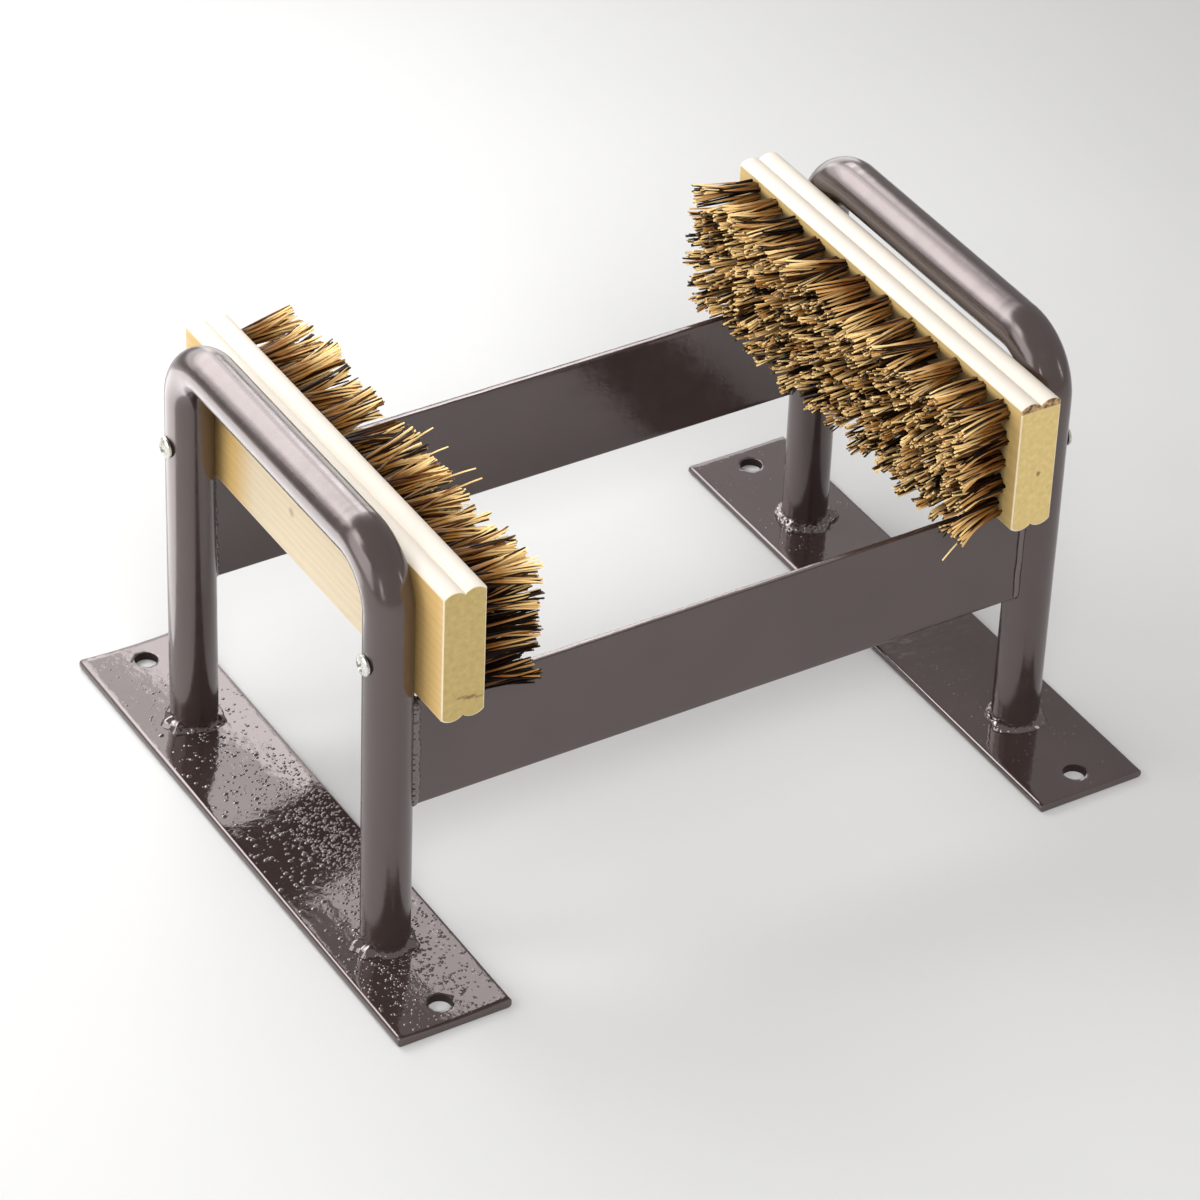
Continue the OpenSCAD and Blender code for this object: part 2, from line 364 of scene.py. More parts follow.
def grit_heights(network, places):
    """Grains of grit under the paint, each a small heap, gathered in some places."""
    specks = add_node(network, "ShaderNodeTexVoronoi", Scale=620.0)
    network.links.new(places, specks.inputs["Vector"])
    heaps = spread(network, specks.outputs["Distance"], 0.0, 0.35, 1.0, 0.0)
    gathered = spread(network, noise_from(network, places, scale=210), 0.52, 0.62)
    return calculate(network, "MULTIPLY", heaps, gathered)


def make_enamel(name, peel, grit, dull, umber=UMBER, mirror=2.0):
    """Umber gloss paint. Its waves, its grit and its roughness are shares from 0 to 1, its two
    tones of umber mix in soft clouds, and mirror is its index of refraction."""
    finish, network, shader = new_finish(name)
    places = object_places(network)
    clouds = noise_from(network, places, scale=38, detail=4)
    network.links.new(colour_noise(network, clouds, *umber), shader.inputs["Base Color"])
    wander = noise_from(network, places, scale=120, detail=3)
    roughness = spread_noise(network, wander, 0.75 * dull, 1.25 * dull)
    network.links.new(roughness, shader.inputs["Roughness"])
    waves = noise_from(network, places, scale=150, detail=1)
    orange_peel = noise_from(network, places, scale=520, detail=2)
    layers = [
        (waves, peel, 0.9 * MM),
        (orange_peel, peel, 0.25 * MM),
        (grit_heights(network, places), grit, 0.3 * MM),
    ]
    add_bumps(network, shader, layers)
    shader.inputs["IOR"].default_value = mirror
    shader.inputs["Specular Tint"].default_value = UMBER_GLINT
    return finish


tube_enamel = make_enamel("tube_enamel", peel=0.06, grit=0.05, dull=0.20)
bar_enamel = make_enamel("bar_enamel", peel=0.10, grit=0.12, dull=0.07)
weld_enamel = make_enamel("weld_enamel", peel=0.14, grit=0.10, dull=0.05, umber=DARK_UMBER, mirror=2.5)
rail_enamel = make_enamel("rail_enamel", peel=0.07, grit=0.05, dull=0.15)
bore_shade_enamel = make_enamel("bore_shade_enamel", peel=0.20, grit=0.30, dull=0.60, umber=BORE_SHADE_UMBER, mirror=1.4)
enamels = (tube_enamel, bar_enamel, weld_enamel, rail_enamel, bore_shade_enamel)
print("enamels:", [enamel.name for enamel in enamels])

# %% [markdown]
# ## Base plates
#
# Each plate is a length of hot-rolled flat bar. Rolling leaves its long edges round, and
# the shear leaves its ends square. The section is a rectangle with round corners, drawn
# out along Y, and the last rings draw in a little to break the edge. Weld metal shrinks
# as it cools and pulls the long edges of a plate up, the left plate's more than the
# right's. Two drilled holes are cut away last, with rims that the paint has softened.

# %% Draw the section of a flat bar
smallest_corner = 0.02 * MM
THIN_SIDE_STEPS = 2


def bar_section(width, thickness, corner, face_steps, inset=0.0, corner_steps=4):
    """Points round the section of a bar, centred: pairs of a place across and a place through."""
    half_width = width / 2 - inset
    half_thickness = thickness / 2 - inset
    radius = max(corner - inset, smallest_corner)
    corners = []
    for quarter, (u, v) in enumerate(((1, 1), (-1, 1), (-1, -1), (1, -1))):
        middle_u = u * (half_width - radius)
        middle_v = v * (half_thickness - radius)
        arc = []
        for step in range(corner_steps + 1):
            angle = (quarter + step / corner_steps) * math.pi / 2
            arc.append((middle_u + radius * math.cos(angle), middle_v + radius * math.sin(angle)))
        corners.append(arc)
    section = []
    for quarter, arc in enumerate(corners):
        section += arc
        start = arc[-1]
        end = corners[(quarter + 1) % 4][0]
        steps = face_steps if quarter % 2 == 0 else THIN_SIDE_STEPS
        for step in range(1, steps):
            share = step / steps
            u = start[0] + (end[0] - start[0]) * share
            v = start[1] + (end[1] - start[1]) * share
            section.append((u, v))
    return section


def bar_stations(low, high, spacing, edge):
    """Places along a bar, with how far the section draws in at each: the ends are softened."""
    count = round((high - low - 2 * edge) / spacing)
    middle = [(low + edge + (high - low - 2 * edge) * i / count, 0.0) for i in range(count + 1)]
    softened = [(edge * (1 - math.cos(a)), edge * (1 - math.sin(a))) for a in (0, math.pi / 6, math.pi / 3)]
    front = [(low + along, inset) for along, inset in softened]
    rear = [(high - along, inset) for along, inset in reversed(softened)]
    return front + middle + rear


print("points round a thin bar:", len(bar_section(50 * MM, 3 * MM, 0.5 * MM, 20)))

# %% Make the base plates
plate_width = plate_high.x - plate_low.x
plate_curl = {"left": 1.0 * MM, "right": 0.25 * MM}
plate_corner = 1.65 * MM
plate_end_edge = 0.35 * MM
plate_ring_spacing = 2.5 * MM
# How deep and how long the soft waves of rolled bar are, on its faces and on its edges.
face_wave_depth = 0.05 * MM
face_wave_length = 30 * MM
edge_wave_depth = 0.08 * MM
edge_wave_length = 18 * MM
hole_y = plate_high.y - 12 * MM
hole_radius = 4.75 * MM
hole_rim = 0.22 * MM
HOLE_SIDES = 48


def plate_surface(side_name, across):
    """Height of a plate's top: the welds shrank as they cooled, and pulled its edges up."""
    return plate_top + plate_curl[side_name] * (2 * across / plate_width) ** 2


def plate_ring(side_name, y, inset):
    """The section of a plate at one place along it, with its curl and its unevenness."""
    side = SIDES[side_name]
    seed = 3.1 * side
    ring = []
    for u, v in bar_section(plate_width, plate_top, plate_corner, 20, inset, corner_steps=8):
        x = side * hoop_x + u
        z = plate_top / 2 + v
        if v > 0:
            z += plate_surface(side_name, u) - plate_top
            z -= face_wave_depth * (1 + uneven((x, y, 0), face_wave_length, seed))
        wave = edge_wave_depth * (1 + uneven((0, y, side * u), edge_wave_length, seed))
        near_edge = abs(2 * u / plate_width) ** 8
        ring.append((x - math.copysign(wave, u) * near_edge, y, z))
    return ring


def bolt_hole(x, y):
    """The space that a drill and the painter leave: a round hole with a softened rim."""
    levels = [
        (plate_top + hole_rim, hole_radius + 2 * hole_rim),
        (plate_top - hole_rim, hole_radius + 0.1 * hole_rim),
        (plate_top - 2 * hole_rim, hole_radius),
        (-hole_rim, hole_radius),
    ]
    return skin([[(x + u, y + v, z) for u, v in circle(HOLE_SIDES, radius)] for z, radius in levels])


def make_base_plate(side_name):
    """One base plate, with its rolled edges and bolt holes."""
    stations = bar_stations(plate_low.y, plate_high.y, plate_ring_spacing, plate_end_edge)
    points, faces = skin([plate_ring(side_name, y, inset) for y, inset in stations])
    name = "base_plate_" + side_name
    plate = make_piece(name + "_painted", points, faces, bar_enamel, [name])
    for end in ENDS.values():
        # The bore is lined with nearly black enamel, which is painted shade inside the hole.
        cut_away(plate, *bolt_hole(SIDES[side_name] * hoop_x, end * hole_y), lining=bore_shade_enamel)
    return plate


for side_name in SIDES:
    plate = make_base_plate(side_name)
    print(plate.name, "faces:", len(plate.data.polygons))

# %% [markdown]
# ## Weld spatter
#
# Welding throws droplets that freeze on the plate and are painted over. A bump map could
# only hint at them, while little domes catch the light on one side and show from low down
# too. The left plate was welded with a hotter, dirtier arc: most of its many droplets
# lie in the middle, while the right plate has a few, round the feet of its hoop.

# %% Shape a droplet
DROP_SIDES = 8
# The rings of a droplet, from its foot up: shares of its height and of its radius.
drop_profile = ((0.0, 1.04), (0.50, 0.80), (0.87, 0.42))
drop_flatness = (0.28, 0.50)
drop_sunk = 0.09 * MM
points_in_drop = DROP_SIDES * len(drop_profile) + 1


def droplet(x, y, surface, radius, height, points, faces):
    """Adds one dome of frozen metal, sunk a little into the plate, to some points and faces."""
    base = surface - drop_sunk
    height += drop_sunk
    start = len(points)
    for lift, width in drop_profile:
        level = base + height * lift
        points.extend((x + radius * width * c, y + radius * width * s, level) for c, s in circle(DROP_SIDES))
    points.append((x, y, base + height))
    last_ring = start + DROP_SIDES * (len(drop_profile) - 1)
    for ring in range(start, last_ring, DROP_SIDES):
        above = ring + DROP_SIDES
        for j in range(DROP_SIDES):
            k = (j + 1) % DROP_SIDES
            faces.append((ring + j, ring + k, above + k, above + j))
    top = last_ring + DROP_SIDES
    faces.extend((last_ring + j, last_ring + (j + 1) % DROP_SIDES, top) for j in range(DROP_SIDES))
    faces.append(tuple(start + DROP_SIDES - 1 - j for j in range(DROP_SIDES)))


print("points in a droplet:", points_in_drop)

# %% Scatter droplets over the plates
edge_margin = 1.5 * MM
end_margin = 1.0 * MM
hole_margin = 2.6 * MM


def has_room(x, y, radius):
    """Whether a droplet lies on flat plate, clear of its edges, its holes and its legs."""
    clear_of_edge = abs(x) < plate_width / 2 - radius - edge_margin
    clear_of_end = abs(y) < plate_high.y - radius - end_margin
    clear_of_hole = math.hypot(x, abs(y) - hole_y) > hole_radius + hole_margin
    clear_of_leg = math.hypot(x, abs(y) - leg_y) > tube_radius
    return clear_of_edge and clear_of_end and clear_of_hole and clear_of_leg


def scatter_spatter(side_name, showers, seed):
    """The droplets on one plate."""
    draw = random.Random(seed)
    points = []
    faces = []
    for count, middle_x, middle_y, spread_x, spread_y, smallest, largest in showers:
        placed = 0
        while placed < count:
            x = middle_x + spread_x * draw.gauss(0, 1)
            y = middle_y + spread_y * draw.gauss(0, 1)
            radius = smallest + (largest - smallest) * draw.random() ** 2
            if has_room(x, y, radius):
                height = radius * draw.uniform(*drop_flatness)
                surface = plate_surface(side_name, x)
                droplet(SIDES[side_name] * hoop_x + x, y, surface, radius, height, points, faces)
                placed += 1
    return make_piece("weld_spatter_" + side_name, points, faces, weld_enamel)


# A shower of droplets: how many, its middle across and along the plate, its spread across and
# along, and its smallest and largest radius.
showers = {
    "left": [
        (260, -0.006, -0.022, 0.016, 0.055, 0.70 * MM, 1.40 * MM),
        (1100, 0.012, -0.022, 0.010, 0.034, 0.42 * MM, 0.90 * MM),
        (360, 0.0, -0.105, 0.018, 0.020, 0.45 * MM, 1.05 * MM),
        (170, 0.0, 0.060, 0.022, 0.050, 0.35 * MM, 0.80 * MM),
    ],
    "right": [
        (110, 0.0, 0.0, 0.022, 0.090, 0.25 * MM, 0.50 * MM),
        (70, 0.0, 0.080, 0.014, 0.014, 0.30 * MM, 0.60 * MM),
        (50, 0.0, -0.080, 0.014, 0.014, 0.30 * MM, 0.55 * MM),
    ],
}
for seed, side_name in enumerate(showers):
    spatter = scatter_spatter(side_name, showers[side_name], 11 + seed)
    print(spatter.name, "droplets:", len(spatter.data.vertices) // points_in_drop)

# %% [markdown]
# ## Hoops
#
# A hoop is one length of tube, bent twice round a former. A bend stretches the outer
# wall, so it flattens there and bulges at the sides, and the former's edges leave faint
# marks where each bend starts. A ready-made torus would join the legs too perfectly, so
# rings are led along the tube's middle line, and each ring is pressed out of round. A
# second skin, inside the first, is the bore.

# %% Follow the middle line of a hoop
LEG_STEPS = 80
BEND_STEPS = 32
BAR_STEPS = 58


def hoop_stations():
    """Stations from the front foot to the rear foot: place, outward direction and share of bend."""
    stations = []
    bar_half = leg_y - bend_radius
    for i in range(LEG_STEPS):
        z = plate_top + (bend_start - plate_top) * i / LEG_STEPS
        stations.append((-leg_y, z, -1.0, 0.0, 0.0))
    for i in range(BEND_STEPS):
        angle = math.pi * (1 - 0.5 * i / BEND_STEPS)
        u, v = math.cos(angle), math.sin(angle)
        share = math.sin(math.pi * i / BEND_STEPS)
        stations.append((-bar_half + bend_radius * u, bend_start + bend_radius * v, u, v, share))
    for i in range(BAR_STEPS + 1):
        stations.append((bar_half * (2 * i / BAR_STEPS - 1), bar_z, 0.0, 1.0, 0.0))
    front = stations[:LEG_STEPS + BEND_STEPS]
    rear = [(-y, z, -u, v, share) for y, z, u, v, share in reversed(front)]
    return stations + rear


print("rings in a hoop:", len(hoop_stations()))

# %% Bend the hoops
bend_flattening = 0.45 * MM
bend_bulging = 0.15 * MM
mark_depth = 0.10 * MM
mark_width = 0.9 * MM
HOOP_SIDES = 72
mark_places = (
    (leg_y, bend_start - 3 * MM),
    (leg_y, bend_start + 1 * MM),
    (leg_y - bend_radius - 2 * MM, bar_z),
)
# Drawn tube is uneven over long and over short stretches: how long and how deep.
tube_waves = ((34 * MM, 0.06 * MM), (9 * MM, 0.015 * MM))


def former_marks(y, z):
    """Depth of the marks that the former leaves beside each bend, from 0 to 1."""
    nearest = min(math.hypot(abs(y) - mark_y, z - mark_z) for mark_y, mark_z in mark_places)
    return math.exp(-(nearest / mark_width) ** 2)


def hoop_ring(side, station, is_bore):
    """One ring of a hoop: of its bore, or of its outer wall with the marks of its making."""
    y, z, out_y, out_z, bend = station
    marks = former_marks(y, z)
    ring = []
    for c, s in circle(HOOP_SIDES):
        pressed = bend * (bend_flattening * max(c, 0.0) ** 2 - bend_bulging * s * s)
        radius = tube_radius - pressed
        if is_bore:
            radius -= tube_wall
        else:
            place = (side * tube_radius * s, y + tube_radius * c * out_y, z + tube_radius * c * out_z)
            for length, depth in tube_waves:
                radius -= depth * (1 + uneven(place, length, 5.7 * side))
            radius -= mark_depth * marks * max(c, 0.0)
        ring.append((side * (hoop_x + radius * s), y + radius * c * out_y, z + radius * c * out_z))
    return ring


def make_hoop(side_name):
    """One hoop, with its outer wall and its bore."""
    side = SIDES[side_name]
    stations = hoop_stations()
    outer = [hoop_ring(side, station, is_bore=False) for station in stations]
    bore = [hoop_ring(side, station, is_bore=True) for station in stations]
    points, faces = skin(outer + bore[::-1], closed=True)
    name = "hoop_" + side_name
    return make_piece(name + "_painted", points, faces, tube_enamel, [name])


for side_name in SIDES:
    hoop = make_hoop(side_name)
    print(hoop.name, "faces:", len(hoop.data.polygons))

# %% [markdown]
# ## Scraper rails
#
# The two rails are thinner flat bar on edge, and they do the scraping. Each end is
# coped, which means cut hollow, to sit against the round leg. The same section as the
# plates' is turned on its edge and led along X. Each point of the end rings stops where
# it meets the tube, so the cope needs no cutting tool.

# %% Make the rails
rail_middle = (rail_low.y + rail_high.y) / 2
rail_thickness = rail_high.y - rail_low.y
rail_height = rail_high.z - rail_low.z
rail_z = (rail_low.z + rail_high.z) / 2
root_gap = 0.1 * MM
rail_corner = 0.55 * MM
rail_bow = 0.10 * MM
rail_bow_length = 60 * MM
nick_depth = 0.10 * MM
nick_length = 7 * MM
RAIL_STATIONS = 96


def coped_end(y):
    """How far from the middle the end of a rail lies at a place across its thickness."""
    across = abs(y) - leg_y
    return hoop_x - math.sqrt((tube_radius + root_gap) ** 2 - across ** 2)


def make_rail(end_name):
    """One scraper rail, a little bowed, with worn nicks along its top edge."""
    end = ENDS[end_name]
    rings = []
    for i in range(RAIL_STATIONS + 1):
        share = 2 * i / RAIL_STATIONS - 1
        ring = []
        for u, v in bar_section(rail_height, rail_thickness, rail_corner, 24):
            y = end * (rail_middle + v)
            x = coped_end(y) * share
            z = rail_z + u
            bow = rail_bow * uneven((x, 0, z), rail_bow_length, 2.3 * end) * (1 - abs(share) ** 6)
            on_top_edge = u > 0.48 * rail_height
            nick = nick_depth * (1 + uneven((x, y, 0), nick_length, end)) if on_top_edge else 0.0
            ring.append((x, y + bow, z - nick))
        rings.append(ring)
    points, faces = skin(rings)
    name = "scraper_rail_" + end_name
    return make_piece(name + "_painted", points, faces, rail_enamel, [name])


for end_name in ENDS:
    rail = make_rail(end_name)
    print(rail.name, "length in mm:", round(rail.dimensions.x / MM, 1))

# %% [markdown]
# ## Welds
#
# A hand-held arc lays its metal in overlapping ripples. The bead wanders, swells where
# the hand slows down, and ends in a knob where the arc was broken. Round a foot it is a
# slanting fillet with a bulge, whose size changes with the angle, by soft noise and by
# knobs at given places. Up the joint of a rail it is a round bead, half sunk in the
# joint, thicker and rougher on the left hoop than on the right.

# %% Lay the weld round each foot
foot_weld_size = 3.6 * MM
# Its width and its height are shares of that size, and each wanders round the leg.
foot_width = 0.62
foot_height = 0.55
foot_wander = 0.16
# A rough bead is larger all round, and a knob is wider than it is high.
rough_swell = 0.25
knob_height = 0.55
fillet_bulge = 0.24
ripple = 3 * MM
ripple_depth = 0.16 * MM
sunk_in_leg = 0.15 * MM
sunk_in_plate = 0.05 * MM
FOOT_STATIONS = 264
FOOT_STEPS = 12


def lump(angle, at, width):
    """A single swelling along a bead, from 0 to 1."""
    away = (angle - at + math.pi) % math.tau - math.pi
    return math.exp(-(away / width) ** 2)


def foot_bead(x, y, seed, knobs, rough):
    """Rings round the foot of a leg, each one a section of the bead."""
    ripples = round(math.tau * tube_radius / ripple)
    rings = []
    for i in range(FOOT_STATIONS):
        angle = math.tau * i / FOOT_STATIONS
        c, s = math.cos(angle), math.sin(angle)
        knob = sum(size * lump(angle, at, width) for at, width, size in knobs)
        spreading = foot_wander * uneven((c, s, 0.0), 0.55, seed)
        climbing = foot_wander * uneven((c, s, 1.0), 0.5, seed + 4)
        width = foot_weld_size * (foot_width + spreading + rough_swell * rough + knob)
        height = foot_weld_size * (foot_height + climbing + rough_swell * rough + knob_height * knob)
        slant = math.hypot(width, height)
        root = tube_radius - 0.4 * MM
        ring = [(x + root * c, y + root * s, plate_top - 0.3 * MM)]
        for step in range(FOOT_STEPS + 1):
            t = step / FOOT_STEPS
            bulge = math.sin(math.pi * t)
            phase = angle * ripples + 1.8 * bulge
            crest = ripple_depth * (abs(math.sin(phase / 2)) - 0.5)
            grain = (0.10 + 0.55 * rough) * MM * uneven((c * 10, s * 10, step * 0.35), 1.1, seed)
            swell = bulge * (fillet_bulge * min(width, height) + crest + grain)
            out = tube_radius - sunk_in_leg + width * t + swell * height / slant
            up = plate_top - sunk_in_plate + height * (1 - t) + swell * width / slant
            ring.append((x + out * c, y + out * s, up))
        ring.reverse()
        rings.append(ring)
    return skin(rings, closed=True)


# For each foot, how rough its bead is, and its knobs: an angle, a width and a size.
foot_beads = {
    ("left", "front"): (0.10, [(-3.20, 0.24, 0.95), (-2.70, 0.20, 0.85), (-0.85, 0.20, 0.60)]),
    ("left", "rear"): (0.15, [(-3.14, 0.24, 0.85), (-2.66, 0.20, 0.65), (-0.80, 0.22, 0.55)]),
    ("right", "front"): (0.20, [(-2.80, 0.30, 0.45), (-0.90, 0.25, 0.40)]),
    ("right", "rear"): (1.00, [(-2.60, 0.40, 0.35), (-1.50, 0.30, 0.35), (-0.55, 0.25, 0.55)]),
}
WELD_SHARP_ANGLE = 70
for number, ((side_name, end_name), (rough, knobs)) in enumerate(foot_beads.items()):
    x = SIDES[side_name] * hoop_x
    y = ENDS[end_name] * leg_y
    points, faces = foot_bead(x, y, 2.0 + 3 * number, knobs, rough)
    name = "_".join(("foot_weld", side_name, end_name))
    bead = make_piece(name + "_painted", points, faces, weld_enamel, [name], WELD_SHARP_ANGLE)
print("foot welds:", len(foot_beads), "faces each:", len(bead.data.polygons))

# %% Lay the welds at the ends of the rails
# For each side, the radius of its beads and how rough they are.
rail_beads = {"left": (2.2 * MM, 1.0), "right": (1.5 * MM, 0.25)}
# What roughness adds to the radius, as shares of it, and how far a bead sways sideways.
rough_lumps = 0.34
rough_ripples = 0.16
rough_grain = 0.12
bead_sway = 0.5 * MM
RAIL_BEAD_STATIONS = 110
RAIL_BEAD_SIDES = 20


def rail_bead(side, end, face, seed, bead_radius, rough):
    """A rippled bead up one face of a rail, where it meets the leg."""
    y = rail_middle + face * rail_thickness / 2
    x = hoop_x - math.sqrt(tube_radius ** 2 - (y - leg_y) ** 2)
    rings = []
    for i in range(RAIL_BEAD_STATIONS + 1):
        share = i / RAIL_BEAD_STATIONS
        z = rail_low.z + rail_height * share
        taper = math.sqrt(max(1 - (2 * share - 1) ** 16, 0.02))
        lumps = rough_lumps * uneven((0, 0, z), 5 * MM, seed)
        ripples = rough_ripples * abs(math.sin(math.pi * z / ripple))
        thickness = bead_radius * taper * (0.95 + rough * (lumps + ripples))
        sideways = bead_sway * uneven((0, 0, z), 9 * MM, seed + 7)
        ring = []
        for c, s in circle(RAIL_BEAD_SIDES):
            radius = thickness * (1 + rough_grain * rough * uneven((c, s, z / ripple), 0.9, seed))
            ring.append((side * (x + radius * c + sideways), end * (y + radius * s), z))
        rings.append(ring)
    return skin(rings)


def make_rail_weld(side_name, end_name):
    """The two beads of one joint, one on each face of the rail, as one piece."""
    side = SIDES[side_name]
    end = ENDS[end_name]
    points = []
    faces = []
    for face in (-1, 1):
        seed = 1.3 * face + 2 * side + 5 * end
        more_points, more_faces = rail_bead(side, end, face, seed, *rail_beads[side_name])
        faces += [tuple(corner + len(points) for corner in more) for more in more_faces]
        points += more_points
    name = "_".join(("rail_weld", side_name, end_name))
    return make_piece(name + "_painted", points, faces, weld_enamel, [name], WELD_SHARP_ANGLE)


for side_name in SIDES:
    for end_name in ENDS:
        bead = make_rail_weld(side_name, end_name)
        print(bead.name, "faces:", len(bead.data.polygons))

# %% [markdown]
# ## Wood for the brush blocks
#
# The blocks are a pale close-grained timber, planed on the long faces and left from the
# saw at the ends. Wood is a solid, so its texture is one too: it asks where a place lies
# inside the block, and no picture is laid on. Growth rings run round an axis along the
# block, so the long faces cut them into streaks. A few helpers tell one part of a block
# from another by how far it lies from the middle.

# %% Find places on a block
def place_along(network, axis):
    """Where a place on the object lies along one axis, in metres."""
    parts = add_node(network, "ShaderNodeSeparateXYZ")
    network.links.new(object_places(network), parts.inputs["Vector"])
    return parts.outputs[axis]


def away_from(network, value, middle=0.0):
    """How far a value lies from a middle, above or below it."""
    return calculate(network, "ABSOLUTE", calculate(network, "SUBTRACT", value, middle), 0.0)


def all_of(network, first, *others):
    """The product of some shares: it is 1 only where each of them is 1."""
    product = first
    for other in others:
        product = calculate(network, "MULTIPLY", product, other)
    return product


def on_right_side(network):
    """1 on the right-hand brush, 0 on the left-hand one."""
    return spread(network, place_along(network, "X"), -MM, MM)


print("wood helpers ready")

# %% [markdown]
# ## The planed faces, with painted shade and highlight
#
# Planed wood is streaky, softly clouded and flecked with short dark pores. Shade and
# light are then painted into its colour, not everywhere alike. The back gets an amber
# painted shade beside the legs, the tuft side a brown painted shade that is nearly dark
# among the tufts, and the beads a paler painted highlight. Each of these is one more
# colour, mixed in only where it belongs.

# %% Colour the planed faces
GROWTH_RINGS = ((0.665, 0.56, 0.40), (0.70, 0.595, 0.43))
WOOD_CLOUDS = ((0.96, 0.92, 0.86), (1.0, 1.0, 1.0))
PORE_BROWN = (0.48, 0.33, 0.16)
# Painted shade: amber darkening of the block's back beside each leg.
LEG_SHADE_AMBER = (1.0, 0.80, 0.43)
# Painted shade: browner colour on the tuft side, in the shade of the bristles.
TUFT_SIDE_SHADE = (0.80, 0.665, 0.36)
DEEP_SHADE = (0.07, 0.045, 0.025)
# Painted highlight: the beads turn paler, for the light that falls on the top.
BEAD_HIGHLIGHT = (0.68, 0.63, 0.57)
log_middle = (0.055, 0.0, -0.02)
# Where a colour starts to fade and where it has gone: the amber painted shade from the
# middle of a leg, the painted shade among the tufts from the middle of the block, along it and up.
leg_shade_reach = (18 * MM, 34 * MM)
tufts_reach_along = (92 * MM, 96 * MM)
tufts_reach_up = (23 * MM, 26 * MM)
bead_depth = 1.6 * MM


def planed_faces(network):
    """Growth rings under soft clouds, with pores."""
    places = object_places(network, stretch=(1, 0.06, 1))
    shifted = add_node(network, "ShaderNodeMapping", Location=log_middle)
    network.links.new(places, shifted.inputs["Vector"])
    rings = add_node(
        network, "ShaderNodeTexWave", wave_type="RINGS", rings_direction="Y",
        Scale=95.0, Distortion=5.0, Detail=2.0, Detail_Scale=1.4,
    )
    network.links.new(shifted.outputs["Vector"], rings.inputs["Vector"])
    early, late = GROWTH_RINGS
    pale = colour_steps(network, rings.outputs["Fac"], [(0.1, early), (0.9, late)])
    clouds = colour_noise(network, noise_from(network, places, scale=22, detail=2), *WOOD_CLOUDS)
    clouded = mix_colours(network, 0.8, pale, clouds, "MULTIPLY")
    pore_places = object_places(network, stretch=(1, 0.10, 1))
    pores = spread(network, noise_from(network, pore_places, scale=900, detail=2), 0.62, 0.75, 0.0, 0.35)
    return mix_colours(network, pores, clouded, PORE_BROWN)


def shaded_beside_legs(network):
    """1 on the strip of a block's back beside each leg, where amber painted shade goes."""
    along = away_from(network, place_along(network, "Y"))
    beside = spread(network, away_from(network, along, leg_y), *leg_shade_reach, 1.0, 0.0)
    through = away_from(network, place_along(network, "X"))
    at_back = spread(network, through, block_back - MM, block_back - 0.4 * MM)
    return all_of(network, beside, at_back)


def paint_wood_shade_and_light(network, colour):
    """Paints shade and light into planed wood: amber painted shade beside the legs, painted shade on the
    tuft side and among the tufts, and a painted highlight on the beads.
    """
    along = away_from(network, place_along(network, "Y"))
    through = away_from(network, place_along(network, "X"))
    height = away_from(network, place_along(network, "Z"), block_middle)
    tuft_side = spread(network, through, bristle_face + 0.2 * MM, bristle_face + 0.8 * MM, 1.0, 0.0)
    tufts_along = spread(network, along, *tufts_reach_along, 1.0, 0.0)
    tufts_up = spread(network, height, *tufts_reach_up, 1.0, 0.0)
    among_tufts = all_of(network, tuft_side, tufts_along, tufts_up, 0.85)
    bead_foot = block_height / 2 - bead_depth
    lit_beads = spread(network, height, bead_foot - MM, bead_foot, 0.0, 0.85)
    colour = mix_colours(network, shaded_beside_legs(network), colour, LEG_SHADE_AMBER, "MULTIPLY")
    colour = mix_colours(network, tuft_side, colour, TUFT_SIDE_SHADE, "MULTIPLY")
    colour = mix_colours(network, among_tufts, colour, DEEP_SHADE)
    return mix_colours(network, lit_beads, colour, BEAD_HIGHLIGHT)


print("planed faces ready")

# %% [markdown]
# ## The sawn ends and the marks
#
# A saw leaves the ends fuzzy, so there a fine cloud takes the place of the rings. Two
# values on the mesh say where the ends and their worn edges are, because a shader can't
# tell that by itself. The top of the right block's near end is coloured in darker ragged
# browns, and small ragged spots stand for dents and stains. The two blocks come from
# different boards.

# %% Colour the sawn ends and the marks
SAWN = ((0.54, 0.40, 0.155), (0.65, 0.49, 0.20))
LEFT_BOARD = (0.73, 0.725, 0.67)
RIGHT_BOARD = (1.0, 1.0, 1.0)
WORN_EDGE = (0.80, 0.73, 0.60)
# Darker ragged browns for a band at the top of the right block's near end.
END_TOP_BROWNS = [(0.40, (0.10, 0.05, 0.02)), (0.62, (0.50, 0.32, 0.15))]
STAIN = (0.16, 0.085, 0.03)
# A mark in the wood: its place, its half sizes and how strong it is.
wood_marks = [
    ((-0.1292, -0.1025, 0.1296), (2.6 * MM, 1.5 * MM, 0.65 * MM), 0.6),
    ((-0.1256, -0.1025, 0.1286), (3.2 * MM, 1.5 * MM, 0.90 * MM), 0.8),
    ((-0.1220, -0.1025, 0.1276), (2.6 * MM, 1.5 * MM, 0.65 * MM), 0.6),
    ((0.1300, -0.1025, 0.1447), (1.1 * MM, 1.5 * MM, 1.3 * MM), 0.8),
    ((-0.1378, 0.0090, 0.1500), (0.8 * MM, 4.2 * MM, 0.9 * MM), 0.5),
    ((-0.1378, 0.0150, 0.1430), (0.8 * MM, 2.2 * MM, 2.2 * MM), 0.4),
]
# How far down and how far in the darker band reaches, and how soft its edge is.
dark_band_height = 3.7 * MM
dark_band_depth = 0.25 * MM
dark_band_edge = 0.3 * MM


